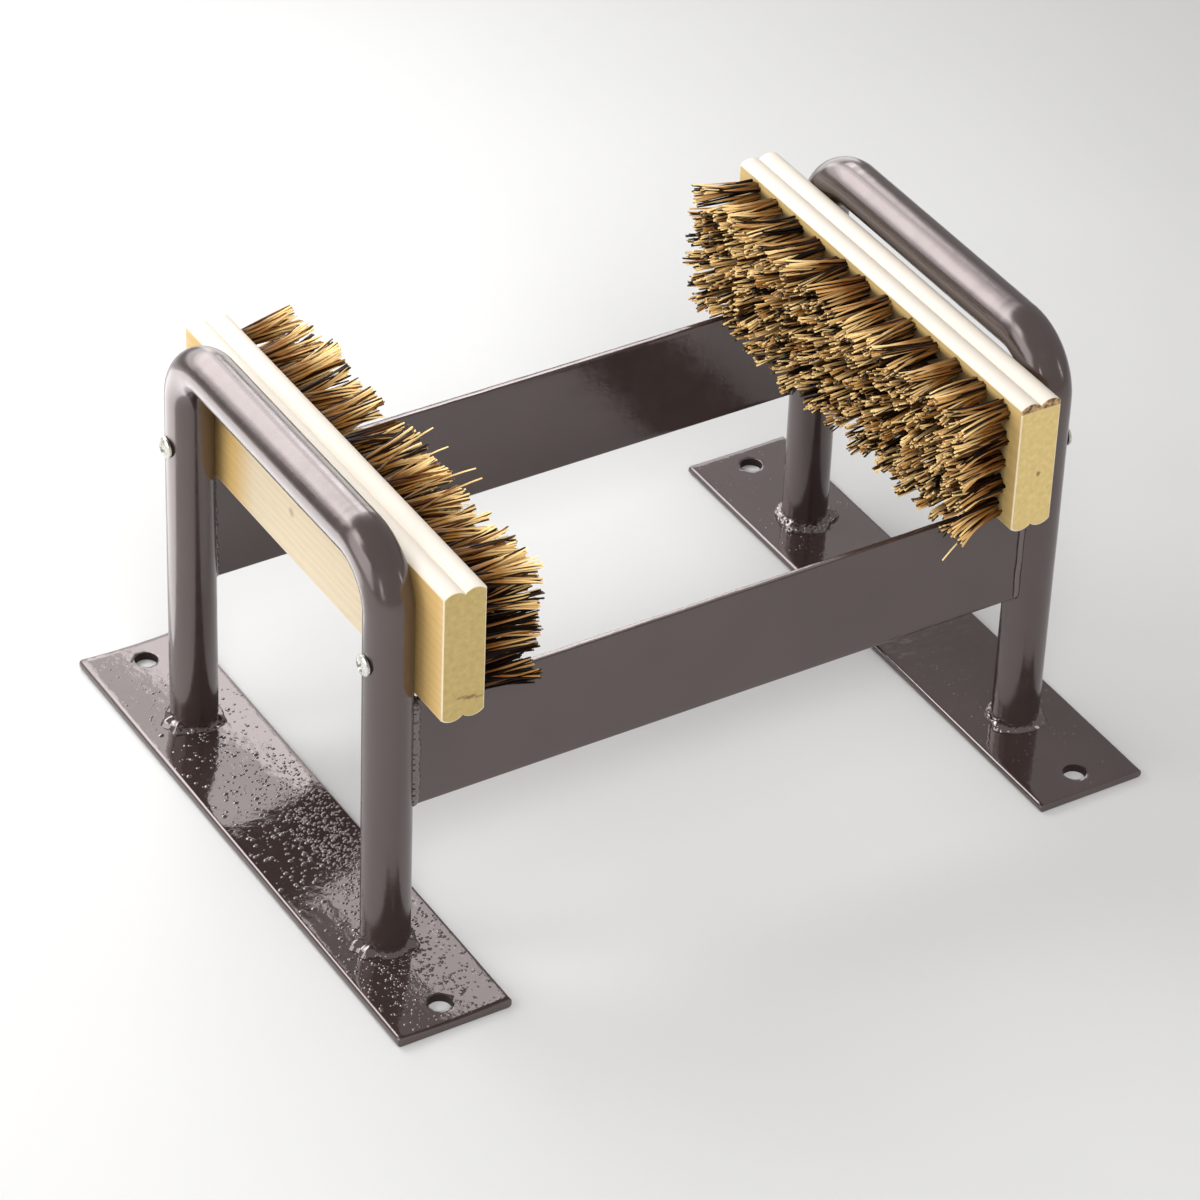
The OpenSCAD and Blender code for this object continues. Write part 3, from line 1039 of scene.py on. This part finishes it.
def saw_ends(network, colour, saw_marks):
    """The sawn ends, each with the tone of its board, and the worn edge round them."""
    sawn = colour_noise(network, saw_marks, *SAWN)
    board = colour_steps(network, on_right_side(network), [(0.0, LEFT_BOARD), (1.0, RIGHT_BOARD)])
    ends = mix_colours(network, 1.0, sawn, board, "MULTIPLY")
    sawn_end = add_node(network, "ShaderNodeAttribute", attribute_name="sawn_end").outputs["Fac"]
    arris = add_node(network, "ShaderNodeAttribute", attribute_name="arris").outputs["Fac"]
    colour = mix_colours(network, sawn_end, colour, ends)
    return mix_colours(network, calculate(network, "MULTIPLY", arris, 0.6), colour, WORN_EDGE)


def darken_end_top(network, colour):
    """The top of the right block's near end, coloured in a darker ragged band."""
    dark_band_from = block_high.z - dark_band_height
    above = spread(network, place_along(network, "Z"), dark_band_from, dark_band_from + dark_band_edge)
    end_from = block_low.y + dark_band_depth
    at_end = spread(network, place_along(network, "Y"), end_from, end_from + dark_band_edge, 1.0, 0.0)
    dark_band = all_of(network, above, at_end, on_right_side(network))
    ragged_noise = noise_from(network, object_places(network), scale=520, detail=3)
    return mix_colours(network, dark_band, colour, colour_steps(network, ragged_noise, END_TOP_BROWNS))


def spot(network, place, size):
    """A ragged spot in the wood, 1 inside: its place and its half sizes along X, Y and Z."""
    places = object_places(network)
    away = add_node(network, "ShaderNodeVectorMath", operation="SUBTRACT")
    network.links.new(places, away.inputs[0])
    away.inputs[1].default_value = place
    scaled = add_node(network, "ShaderNodeVectorMath", operation="DIVIDE")
    network.links.new(away.outputs["Vector"], scaled.inputs[0])
    scaled.inputs[1].default_value = size
    length = add_node(network, "ShaderNodeVectorMath", operation="LENGTH")
    network.links.new(scaled.outputs["Vector"], length.inputs[0])
    ragged = calculate(network, "ADD", length.outputs["Value"], noise_from(network, places, scale=900))
    return spread(network, ragged, 1.1, 1.6, 1.0, 0.0)


print("marks in the wood:", len(wood_marks))

# %% Make the wood
def make_wood():
    """Pale planed timber with streaks, pores and darker sawn ends."""
    finish, network, shader = new_finish("planed_wood")
    saw_marks = noise_from(network, object_places(network), scale=420, detail=3)
    colour = paint_wood_shade_and_light(network, planed_faces(network))
    colour = saw_ends(network, colour, saw_marks)
    colour = darken_end_top(network, colour)
    for place, size, strength in wood_marks:
        share = calculate(network, "MULTIPLY", spot(network, place, size), strength)
        colour = mix_colours(network, share, colour, STAIN)
    network.links.new(colour, shader.inputs["Base Color"])
    streaks = noise_from(network, object_places(network, stretch=(1, 0.03, 1)), scale=1300, detail=2)
    network.links.new(spread_noise(network, streaks, 0.48, 0.62), shader.inputs["Roughness"])
    add_bumps(network, shader, [(streaks, 0.25, 0.12 * MM), (saw_marks, 0.15, 0.2 * MM)])
    return finish


wood = make_wood()
print("finish:", wood.name)

# %% [markdown]
# ## Brush blocks
#
# A moulding plane runs two small beads along each long edge of the block, with a sharp
# groove between them. That outline is four arcs and two straight faces. It is drawn
# once, led along Y, and drawn in a hair at the ends, where sandpaper took off the
# arris. Two marks on the mesh tell the finish where the wood was sawn and where its
# edge is worn.

# %% Draw the outline of a block
bead_rise = 2 * MM
bead_chord = block_thickness / 2
bead_radius = (bead_chord ** 2 / 4 + bead_rise ** 2) / (2 * bead_rise)
BEAD_STEPS = 14
FACE_STEPS = 12


def block_outline():
    """Pairs of a place through the block and a height, round the whole outline."""
    half_angle = math.asin(bead_chord / 2 / bead_radius)
    top = []
    for bead in (1, -1):
        middle = bead * bead_chord / 2
        for step in range(BEAD_STEPS + 1):
            angle = half_angle * (1 - 2 * step / BEAD_STEPS)
            lift = block_height / 2 - bead_radius * (1 - math.cos(angle))
            top.append((middle + bead_radius * math.sin(angle), lift))
    shoulder = top[-1][1]
    face = [(-block_thickness / 2, shoulder * (1 - 2 * i / FACE_STEPS)) for i in range(1, FACE_STEPS)]
    bottom = [(-u, -v) for u, v in top]
    back = [(-u, -v) for u, v in face]
    return top + face + bottom + back


print("points in the outline:", len(block_outline()))

# %% Make the blocks
block_arris = 0.5 * MM
block_ring_spacing = 4 * MM
planing_depth = 0.05 * MM


def block_ring(side, y, inset, is_cap):
    """One ring of a block. A cap is drawn in further, to lie flat within the arris."""
    middle_x = (block_back + bristle_face) / 2
    cap_inset = 2.4 * block_arris if is_cap else 0.0
    ring = []
    for u, v in block_outline():
        u *= 1 - cap_inset / block_thickness
        v *= 1 - cap_inset / block_height
        u -= math.copysign(inset, u) * min(1.0, abs(u) / MM)
        v -= math.copysign(inset, v) * min(1.0, abs(v) / MM)
        planed = planing_depth * abs(uneven((u, y, v), 26 * MM, side))
        ring.append((side * (middle_x + u - planed * math.copysign(1, u)), y, block_middle + v))
    return ring


def keep_values(piece, key, values):
    """Keeps one value for each point of a piece, for its finish to read."""
    piece.data.attributes.new(key, "FLOAT", "POINT").data.foreach_set("value", values)


def make_block(side_name):
    """One brush block, at its full thickness, with the layer that holds the tufts."""
    body = bar_stations(-block_length / 2, block_length / 2, block_ring_spacing, block_arris)
    stations = [(body[0][0], 0.0), *body, (body[-1][0], 0.0)]
    rings = []
    sawn = []
    worn = []
    for number, (y, inset) in enumerate(stations):
        is_cap = number in (0, len(stations) - 1)
        is_sawn = is_cap or inset > 0.6 * block_arris
        is_worn = 0.1 * block_arris < inset < 1.1 * block_arris
        ring = block_ring(SIDES[side_name], y, inset, is_cap)
        sawn += [float(is_sawn)] * len(ring)
        worn += [float(is_worn)] * len(ring)
        rings.append(ring)
    points, faces = skin(rings)
    name = "brush_block_" + side_name
    block = make_piece(name + "_planed", points, faces, wood, [name], sharp_angle=35)
    keep_values(block, "sawn_end", sawn)
    keep_values(block, "arris", worn)
    return block


for side_name in SIDES:
    block = make_block(side_name)
    print(block.name, "in mm:", [round(v / MM, 1) for v in block.dimensions])

# %% [markdown]
# ## Fibre
#
# The bristles are split plant fibre, such as bass. Each straw has a tone of its own,
# from straw yellow to nearly black, and its cut end is pale. Down towards the root each
# straw is darkened by painted shade, for the tuft packs tight there. The tone and the
# place along the straw are kept as values on the mesh, and the finish turns them into colour.

# %% Make the fibre
STRAW_TONES = [
    (0.0, (0.008, 0.003, 0.001)), (0.35, (0.080, 0.030, 0.006)),
    (0.6, (0.46, 0.205, 0.045)), (1.0, (1.0, 0.73, 0.33)),
]
# Painted shade: each straw darkens towards its root.
ROOT_SHADE = [(0.0, (0.04, 0.025, 0.015)), (0.45, (0.30, 0.19, 0.10)), (0.9, (1.0, 1.0, 1.0))]
CUT_END = (0.72, 0.56, 0.32)


def make_fibre():
    """Split plant fibre: golden brown, with a tone for each straw."""
    finish, network, shader = new_finish("plant_fibre")
    tone = add_node(network, "ShaderNodeAttribute", attribute_name="tone").outputs["Fac"]
    reach = add_node(network, "ShaderNodeAttribute", attribute_name="reach").outputs["Fac"]
    straw = colour_steps(network, tone, STRAW_TONES)
    shade = colour_steps(network, reach, ROOT_SHADE)
    shaded = mix_colours(network, 1.0, straw, shade, "MULTIPLY")
    cut_end = spread(network, reach, 0.97, 1.0, 0.0, 0.12)
    network.links.new(mix_colours(network, cut_end, shaded, CUT_END), shader.inputs["Base Color"])
    streaks = noise_from(network, object_places(network, stretch=(0.08, 1, 1)), scale=2600, detail=1)
    network.links.new(spread_noise(network, streaks, 0.38, 0.62), shader.inputs["Roughness"])
    shader.inputs["Specular IOR Level"].default_value = 0.22
    add_bumps(network, shader, [(streaks, 0.5, 0.15 * MM)])
    return finish


fibre = make_fibre()
print("finish:", fibre.name)

# %% [markdown]
# ## Bristles
#
# A brush is made by pulling bunches of straw into drilled holes, five rows of twelve.
# Packed tight in its hole, a bunch spreads as it leaves the wood, and its straws cling
# together in a few locks that lean this way and that. So a tuft is drawn in two steps:
# first the locks are placed, then the straws of each lock. The brush was trimmed flat,
# but no straw stands quite straight, so the ends come out ragged.
#
# No two tufts have the same tone. The left brush is pale along its top, darker row by
# row below, and darker again at its near end, and a few stray straws have slipped out of
# both brushes.

# %% Grow a straw
STRAW_SIDES = 5
STRAW_STEPS = 7
tip_thinning = 0.35
straw_twist = 0.7


def straw_rings(root, knee, tip, width, flat, turn):
    """Rings along a straw that leaves its root towards the knee and bends over to the tip."""
    along = (tip - root).normalized()
    across = along.cross(Vector((0, 0, 1))).normalized()
    upward = across.cross(along)
    rings = []
    for step in range(STRAW_STEPS):
        t = step / (STRAW_STEPS - 1)
        place = root * (1 - t) ** 2 + knee * (2 * t * (1 - t)) + tip * t ** 2
        thin = width * (1 - tip_thinning * t)
        ring = []
        for c, s in circle(STRAW_SIDES, 0.5, turn + straw_twist * t):
            ring.append(place + across * (c * thin) + upward * (s * thin * flat))
        rings.append(ring)
    return rings


print("rings in a straw:", STRAW_STEPS)

# %% Choose the tone of a tuft
ROWS = {"top": 2, "upper": 1, "middle": 0, "lower": -1, "bottom": -2}
# How much lighter or darker the rows of each brush are, from the top row down.
row_tone = {"left": (0.16, 0.0, -0.10, -0.16, -0.18), "right": (-0.04, -0.06, -0.07, -0.08, -0.08)}
pale_straws = 0.58
# How many tufts are darker at the near end of the left brush, and what each step towards
# that end takes from the tone and from the share of pale straws.
dark_end_tufts = 3
end_tone_step = 0.06
end_pale_step = 0.10


def tuft_tone(side_name, row, place):
    """A tuft's tone and its share of pale straws: the left brush is darker at its near end."""
    end_steps = 0
    if side_name == "left" and row < ROWS["top"]:
        end_steps = max(0, dark_end_tufts - place)
    return row_tone[side_name][ROWS["top"] - row] - end_tone_step * end_steps, pale_straws - end_pale_step * end_steps


# The tone of a tuft at the darker near end of the left brush.
print("tone of a worn tuft:", tuft_tone("left", ROWS["bottom"], 0))

# %% Choose how tufts, locks and straws stand
TUFTS_IN_ROW = 12
LOCKS_IN_TUFT = 8
STRAWS_IN_LOCK = 8
PALE_TONE = 0.90
DARK_TONE = 0.13
tuft_pitch = 16.5 * MM
row_pitch = (block_height - 14 * MM) / 4
trim = 26 * MM
lock_radius = 1.9 * MM
# How far a lock stands from the middle of its tuft, along the block and up, at root and tip.
root_along = 2.9 * MM
root_up = 2.4 * MM
tip_along = 7.2 * MM
tip_up = 4.6 * MM
sunk_root = 1.5 * MM
# Outer locks lean away, so they are trimmed shorter. The first lock stays near the middle.
outer_shortening = 1.2 * MM
first_lock_out = 0.35
lock_reach = (0.75, 1.2)
# Where a straw bends: how far it has gone by then, sideways and out of the wood.
knee_sideways = 0.25
knee_out = 0.45
straw_widths = (1.05, 1.6)
# How widely things stray from where they should be: in mm, along the block and up.
tuft_strays = (1.1, 0.9)
tip_strays = (1.15, 0.95)
knee_strays = (0.6, 0.5)
# The same for lengths in mm, for tones and for angles in radians.
lock_length_strays = 0.6
straw_length_strays = 0.45
tuft_tone_strays = 0.08
lock_tone_strays = 0.16
straw_tone_strays = 0.12
lock_angle_strays = 0.4
tip_angle_strays = 0.8
print("straws in a tuft:", LOCKS_IN_TUFT * STRAWS_IN_LOCK)

# %% Bunch the straws into locks and tufts
def lock_straws(lock_root, lock_tip, lock_length, lock_tone, pale_share, draw):
    """Each straw of a lock as its root, knee, tip, tone and width."""
    straws = []
    for straw in range(STRAWS_IN_LOCK):
        turn = draw.random() * math.tau
        out = math.sqrt(draw.random()) * lock_radius
        root_y = lock_root[0] + out * math.cos(turn)
        root_z = lock_root[1] + out * math.sin(turn)
        tip_y = lock_tip[0] + draw.gauss(0, tip_strays[0]) * MM
        tip_z = lock_tip[1] + draw.gauss(0, tip_strays[1]) * MM
        length = lock_length + draw.gauss(0, straw_length_strays) * MM
        root = Vector((bristle_face + sunk_root, root_y, root_z))
        tip = Vector((bristle_face - length, tip_y, tip_z))
        knee_y = root_y * (1 - knee_sideways) + tip_y * knee_sideways
        knee_z = root_z * (1 - knee_sideways) + tip_z * knee_sideways
        knee = Vector((bristle_face - knee_out * length, knee_y, knee_z))
        knee += Vector((0, draw.gauss(0, knee_strays[0]), draw.gauss(0, knee_strays[1]))) * MM
        tone = PALE_TONE if draw.random() < pale_share else DARK_TONE
        tone += lock_tone + draw.gauss(0, straw_tone_strays)
        width = draw.uniform(*straw_widths) * MM
        straws.append((root, knee, tip, min(max(tone, 0.0), 1.0), width))
    return straws


def tuft_straws(centre_y, height, tone, pale_share, draw):
    """The straws of a tuft, lock by lock."""
    straws = []
    lean_y = draw.gauss(0, tuft_strays[0]) * MM
    lean_z = draw.gauss(0, tuft_strays[1]) * MM
    tone += draw.uniform(-tuft_tone_strays, tuft_tone_strays)
    first_turn = draw.random() * math.tau
    for lock in range(LOCKS_IN_TUFT):
        angle = first_turn + lock * math.tau / LOCKS_IN_TUFT
        angle += draw.uniform(-lock_angle_strays, lock_angle_strays)
        out = (first_lock_out if lock == 0 else 1.0) * draw.uniform(*lock_reach)
        length = trim + draw.gauss(0, lock_length_strays) * MM - outer_shortening * out ** 2
        lock_tone = tone + draw.uniform(-lock_tone_strays, lock_tone_strays)
        tip_angle = angle + draw.uniform(-tip_angle_strays, tip_angle_strays)
        lock_root = (
            centre_y + math.cos(angle) * out * root_along,
            height + math.sin(angle) * out * root_up,
        )
        lock_tip = (
            centre_y * 1.03 + lean_y + math.cos(tip_angle) * out * tip_along,
            height * 1.02 + lean_z + math.sin(tip_angle) * out * tip_up,
        )
        straws += lock_straws(lock_root, lock_tip, length, lock_tone, pale_share, draw)
    return straws


print("tufts trimmed to mm:", round(trim / MM, 1))

# %% Set the tufts in rows
# A stray straw: its brush and row, its root and its tip as mirrored places, and its tone.
strays = [
    ("right", "bottom", (118, -93, -22), (95, -92, -41), 1.0),
    ("right", "bottom", (118, -84, -24), (99, -86, -35), 0.10),
    ("left", "top", (118, -16, 25), (90, -10, 33), 0.95),
    ("left", "top", (118, -36, 25), (89, -41, 33), 0.95),
    ("left", "top", (118, -46, 25), (88, -44, 30), 0.90),
    ("left", "top", (118, -24, 26), (89, -20, 30), 1.00),
]
stray_rise = Vector((0, 0, 3 * MM))
stray_width = 1.1 * MM


def row_straws(side_name, row_name, draw):
    """The straws of a row, tuft by tuft, and its strays."""
    row = ROWS[row_name]
    straws = []
    for place in range(TUFTS_IN_ROW):
        centre_y = (place - (TUFTS_IN_ROW - 1) / 2) * tuft_pitch
        tone, pale_share = tuft_tone(side_name, row, place)
        straws += tuft_straws(centre_y, row * row_pitch, tone, pale_share, draw)
    for stray_side, stray_row, root, tip, tone in strays:
        if (stray_side, stray_row) == (side_name, row_name):
            root = Vector(root) * MM
            tip = Vector(tip) * MM
            knee = root.lerp(tip, 0.5) + stray_rise
            straws.append((root, knee, tip, tone, stray_width))
    return straws


def make_row(side_name, row_name):
    """One row of tufts as a piece. Returns how many straws it has."""
    side = SIDES[side_name]
    draw = random.Random(100 + 10 * ROWS[row_name] + side)
    straws = row_straws(side_name, row_name, draw)
    points = []
    faces = []
    tones = []
    reaches = []
    for root, knee, tip, tone, width in straws:
        start = len(points)
        rings = straw_rings(root, knee, tip, width, draw.uniform(0.5, 0.9), draw.random() * math.tau)
        for step, ring in enumerate(rings):
            points.extend((side * p.x, p.y, block_middle + p.z) for p in ring)
            tones += [tone] * STRAW_SIDES
            reaches += [step / (STRAW_STEPS - 1)] * STRAW_SIDES
        faces += [tuple(start + corner for corner in corners) for corners in skin(rings)[1]]
    node = "_".join(("bristles", side_name, row_name, "row"))
    piece = make_piece(node + "_straws", points, faces, fibre, [node], sharp_angle=80)
    keep_values(piece, "tone", tones)
    keep_values(piece, "reach", reaches)
    return len(straws)


straw_count = sum(make_row(side_name, row_name) for side_name in SIDES for row_name in ROWS)
print("straws:", straw_count)

# %% [markdown]
# ## Screws
#
# Four pan head screws, zinc plated, come through the legs into the blocks. A head is
# turned, so it is a profile led round an axis. The cross recess is struck into it, so
# it is cut away with a tapered cross. The shank has its thread, though it hides in the
# leg and the wood: a maker who takes the brush off will see it.

# %% Make the zinc
ZINC_BLOOM = [(0.35, (0.62, 0.62, 0.60)), (0.65, (0.80, 0.79, 0.74))]


def make_zinc():
    """Bright zinc plate with a faint yellow bloom and fine turning marks."""
    finish, network, shader = new_finish("zinc_plate")
    places = object_places(network)
    bloom = noise_from(network, places, scale=350, detail=2)
    network.links.new(colour_steps(network, bloom, ZINC_BLOOM), shader.inputs["Base Color"])
    shader.inputs["Metallic"].default_value = 1.0
    scuffs = noise_from(network, places, scale=1500, detail=3)
    network.links.new(spread_noise(network, scuffs, 0.20, 0.38), shader.inputs["Roughness"])
    add_bumps(network, shader, [(scuffs, 0.15, 0.1 * MM)])
    return finish


zinc = make_zinc()
print("finish:", zinc.name)

# %% Draw the outline of a screw
head_radius = (screw_high.z - screw_low.z) / 2
head_height = 2.6 * MM
head_seat = screw_high.x - head_height
head_edge = 0.25 * MM
rim_share = 0.45
screw_length = head_seat - screw_low.x
shank_radius = 2.1 * MM
thread_pitch = 1.6 * MM
# The core and the ridge of the thread, as shares of the shank's radius, and the blunt
# point as a share of the core.
core_share = 0.78
ridge_share = 0.20
blunt_point = 0.12
HEAD_STEPS = 10
THREAD_STEPS = 190
SCREW_SIDES = 40


def head_profile():
    """Distance from the head's seat, outwards, and radius, from the crown down to the neck."""
    rim = rim_share * head_height
    crown = head_height - rim
    ball = (head_radius ** 2 + crown ** 2) / (2 * crown)
    widest = math.asin((head_radius - head_edge) / ball)
    profile = []
    for step in range(HEAD_STEPS):
        angle = widest * (step + 0.3) / (HEAD_STEPS - 0.7)
        profile.append((head_height - ball * (1 - math.cos(angle)), ball * math.sin(angle)))
    profile += [(rim * 0.9, head_radius), (head_edge, head_radius), (0.0, head_radius - head_edge)]
    profile.append((-0.05 * MM, shank_radius + 0.2 * MM))
    return profile


def thread_radius(depth, turn):
    """Radius of the threaded shank at a depth below the head and an angle."""
    phase = (depth / thread_pitch + turn / math.tau) % 1.0
    ridge = max(0.0, 1 - abs(phase - 0.5) * 4)
    point = min(1.0, (screw_length - depth) / (2 * shank_radius))
    core = shank_radius * core_share * max(point, blunt_point)
    return core + shank_radius * ridge_share * ridge * min(1.0, depth / thread_pitch) * point


def screw_levels():
    """Levels along a screw, from its crown to its point, each with a radius for every side."""
    levels = [(out, [radius] * SCREW_SIDES) for out, radius in head_profile()]
    turns = [math.tau * j / SCREW_SIDES for j in range(SCREW_SIDES)]
    for i in range(1, THREAD_STEPS + 1):
        depth = screw_length * i / THREAD_STEPS
        levels.append((-depth, [thread_radius(depth, turn) for turn in turns]))
    return levels


print("levels in a screw:", len(screw_levels()))

# %% Turn the screws
recess_depth = 1.5 * MM
recess_half_length = 0.55 * head_radius
recess_half_width = 0.14 * head_radius


def recess_arm(side, end, turn):
    """One arm of the cross recess. It narrows as it goes in."""
    c, s = math.cos(turn), math.sin(turn)
    rings = []
    for out, scale in ((head_height + 0.5 * MM, 1.25), (head_height - recess_depth, 0.55)):
        ring = []
        for u, v in ((1, 1), (-1, 1), (-1, -1), (1, -1)):
            long = u * recess_half_length * scale
            wide = v * recess_half_width * (0.5 + 0.5 * scale)
            y = end * leg_y + long * c - wide * s
            ring.append((side * (head_seat + out), y, screw_z + long * s + wide * c))
        rings.append(ring)
    return skin(rings)


def make_screw(side_name, end_name):
    """One screw, head and threaded shank, with its cross recess."""
    side = SIDES[side_name]
    end = ENDS[end_name]
    rings = []
    for out, radii in screw_levels():
        x = side * (head_seat + out)
        ring = [(x, end * leg_y + r * c, screw_z + r * s) for (c, s), r in zip(circle(SCREW_SIDES), radii)]
        rings.append(ring)
    points, faces = skin(rings)
    name = "_".join(("screw", side_name, end_name))
    screw = make_piece(name + "_plated", points, faces, zinc, [name], sharp_angle=35)
    # Each screw came to rest at an angle of its own.
    turn = 0.35 + 0.9 * side + 0.5 * end
    for arm_turn in (turn, turn + math.pi / 2):
        cut_away(screw, *recess_arm(side, end, arm_turn), sharp_angle=35)
    return screw


for side_name in SIDES:
    for end_name in ENDS:
        screw = make_screw(side_name, end_name)
        print(screw.name, "length in mm:", round(screw.dimensions.x / MM, 1))

# %% [markdown]
# ## The floor
#
# A plain pale floor takes the soft shadows and throws light back up under the bars. It
# runs far past the picture on every side, and its tone wanders only a very little.

# %% Lay the floor
FLOOR_GREYS = ((0.575, 0.575, 0.57), (0.605, 0.605, 0.60))
floor_half = 12.0


def lay_floor():
    """A wide pale floor with the faintest unevenness in its tone."""
    finish, network, shader = new_finish("pale_floor")
    clouds = noise_from(network, object_places(network), scale=3, detail=3)
    network.links.new(colour_noise(network, clouds, *FLOOR_GREYS), shader.inputs["Base Color"])
    shader.inputs["Roughness"].default_value = 0.7
    shell = bmesh.new()
    signs = ((-1, -1), (1, -1), (1, 1), (-1, 1))
    shell.faces.new([shell.verts.new((u * floor_half, v * floor_half, 0.0)) for u, v in signs])
    mesh = bpy.data.meshes.new("floor")
    shell.to_mesh(mesh)
    shell.free()
    mesh.materials.append(finish)
    floor = bpy.data.objects.new("floor", mesh)
    bpy.context.scene.collection.objects.link(floor)
    return floor


floor = lay_floor()
print("floor, width in m:", round(floor.dimensions.x, 1))

# %% [markdown]
# ## The lights
#
# Gloss paint shows the room more than it shows its own colour, so the lights are really
# part of the finish, and each has a job. The room's panels both light things and show in
# the paint: three panels, one inside the other, behind the scraper and to its left, like
# a soft box that is brighter in its middle, with a wall of light on the left and a small
# panel high above it. The fill lights the wood and the fibre from the front, and the
# paint doesn't show it. The shine is the other way round: a low panel, a dim board and
# two thin strips, seen only as reflections.
#
# Bent tube and thin rails mirror places that the plates don't, so four more panels shine
# in them alone. They close the dark gap beside the soft box, and the last of them, low
# behind the left hoop, draws the light rim under its bar.

# %% Hang the lights
shiny_pieces = bpy.data.collections.new("shiny_pieces")
for name in ("hoop_left", "hoop_right", "scraper_rail_front", "scraper_rail_rear"):
    shiny_pieces.objects.link(bpy.data.objects[name + "_painted"])


def hang_panel(name, place, aim, size, glow, job):
    """A soft rectangular light that faces a point. Its glow is the brightness of its face."""
    width, height = size
    panel = bpy.data.lights.new(name, "AREA")
    panel.shape = "RECTANGLE"
    panel.size = width
    panel.size_y = height
    panel.energy = glow * math.pi * width * height
    lamp = bpy.data.objects.new(name, panel)
    bpy.context.scene.collection.objects.link(lamp)
    lamp.location = place
    lamp.rotation_euler = (Vector(aim) - Vector(place)).to_track_quat("-Z", "Y").to_euler()
    lamp.visible_camera = False
    lamp.visible_glossy = job != "fill"
    lamp.visible_diffuse = job in ("room", "fill")
    if job == "tube_shine":
        lamp.light_linking.receiver_collection = shiny_pieces


# A panel: its name, its place, the point that it faces, its width and height, its glow and its job.
middle = (0.0, 0.0, 0.1)
panels = (
    ("soft_box_0", (-0.26, 0.58, 0.50), (-0.26, 0.0, 0.1), (0.94, 0.68), 1.9, "room"),
    ("soft_box_1", (-0.24, 0.55, 0.56), (-0.24, 0.0, 0.1), (0.72, 0.44), 1.9, "room"),
    ("soft_box_2", (-0.25, 0.52, 0.57), (-0.25, 0.0, 0.1), (0.50, 0.28), 1.7, "room"),
    ("soft_box_3", (0.36, 0.66, 0.20), (0.36, 0.0, 0.1), (0.55, 0.32), 1.8, "shine"),
    ("left_wall", (-1.45, 0.1, 0.62), middle, (1.3, 1.0), 2.0, "room"),
    ("front_fill", (-0.6, -1.8, 1.7), middle, (1.5, 1.2), 8.0, "fill"),
    ("high_left", (-1.15, 0.35, 1.25), middle, (0.50, 0.50), 3.8, "room"),
    ("strip_left", (-1.60, -1.80, 0.75), middle, (0.16, 0.90), 5.0, "shine"),
    ("strip_right", (1.55, -1.25, 0.62), middle, (0.16, 0.60), 3.5, "shine"),
    ("extra_panel_0", (0.325, 0.56, 0.53), (0.325, 0.0, 0.1), (0.23, 0.17), 4.3, "tube_shine"),
    ("extra_panel_1", (0.30, 0.575, 0.70), (0.30, 0.0, 0.1), (0.22, 0.18), 3.0, "tube_shine"),
    ("extra_panel_2", (0.42, 0.59, 0.74), (0.42, 0.0, 0.1), (0.42, 0.30), 0.6, "tube_shine"),
    ("extra_panel_3", (-0.39, 0.28, 0.02), (-0.39, 0.281, 1.0), (0.42, 0.36), 2.2, "tube_shine"),
    ("dim_board", (0.47, 0.60, 0.42), (0.47, 0.0, 0.1), (0.26, 0.20), 0.35, "shine"),
)
for panel in panels:
    hang_panel(*panel)
print("lights:", len(panels))

# %% Light the room
room_white = (1.0, 0.985, 0.975, 1.0)
room_glow = 0.45

room = bpy.data.worlds.new("room")
room.use_nodes = True
background = room.node_tree.nodes["Background"]
background.inputs["Color"].default_value = room_white
background.inputs["Strength"].default_value = room_glow
bpy.context.scene.world = room
bpy.context.scene.view_settings.view_transform = "Standard"
print("room light:", room_glow)
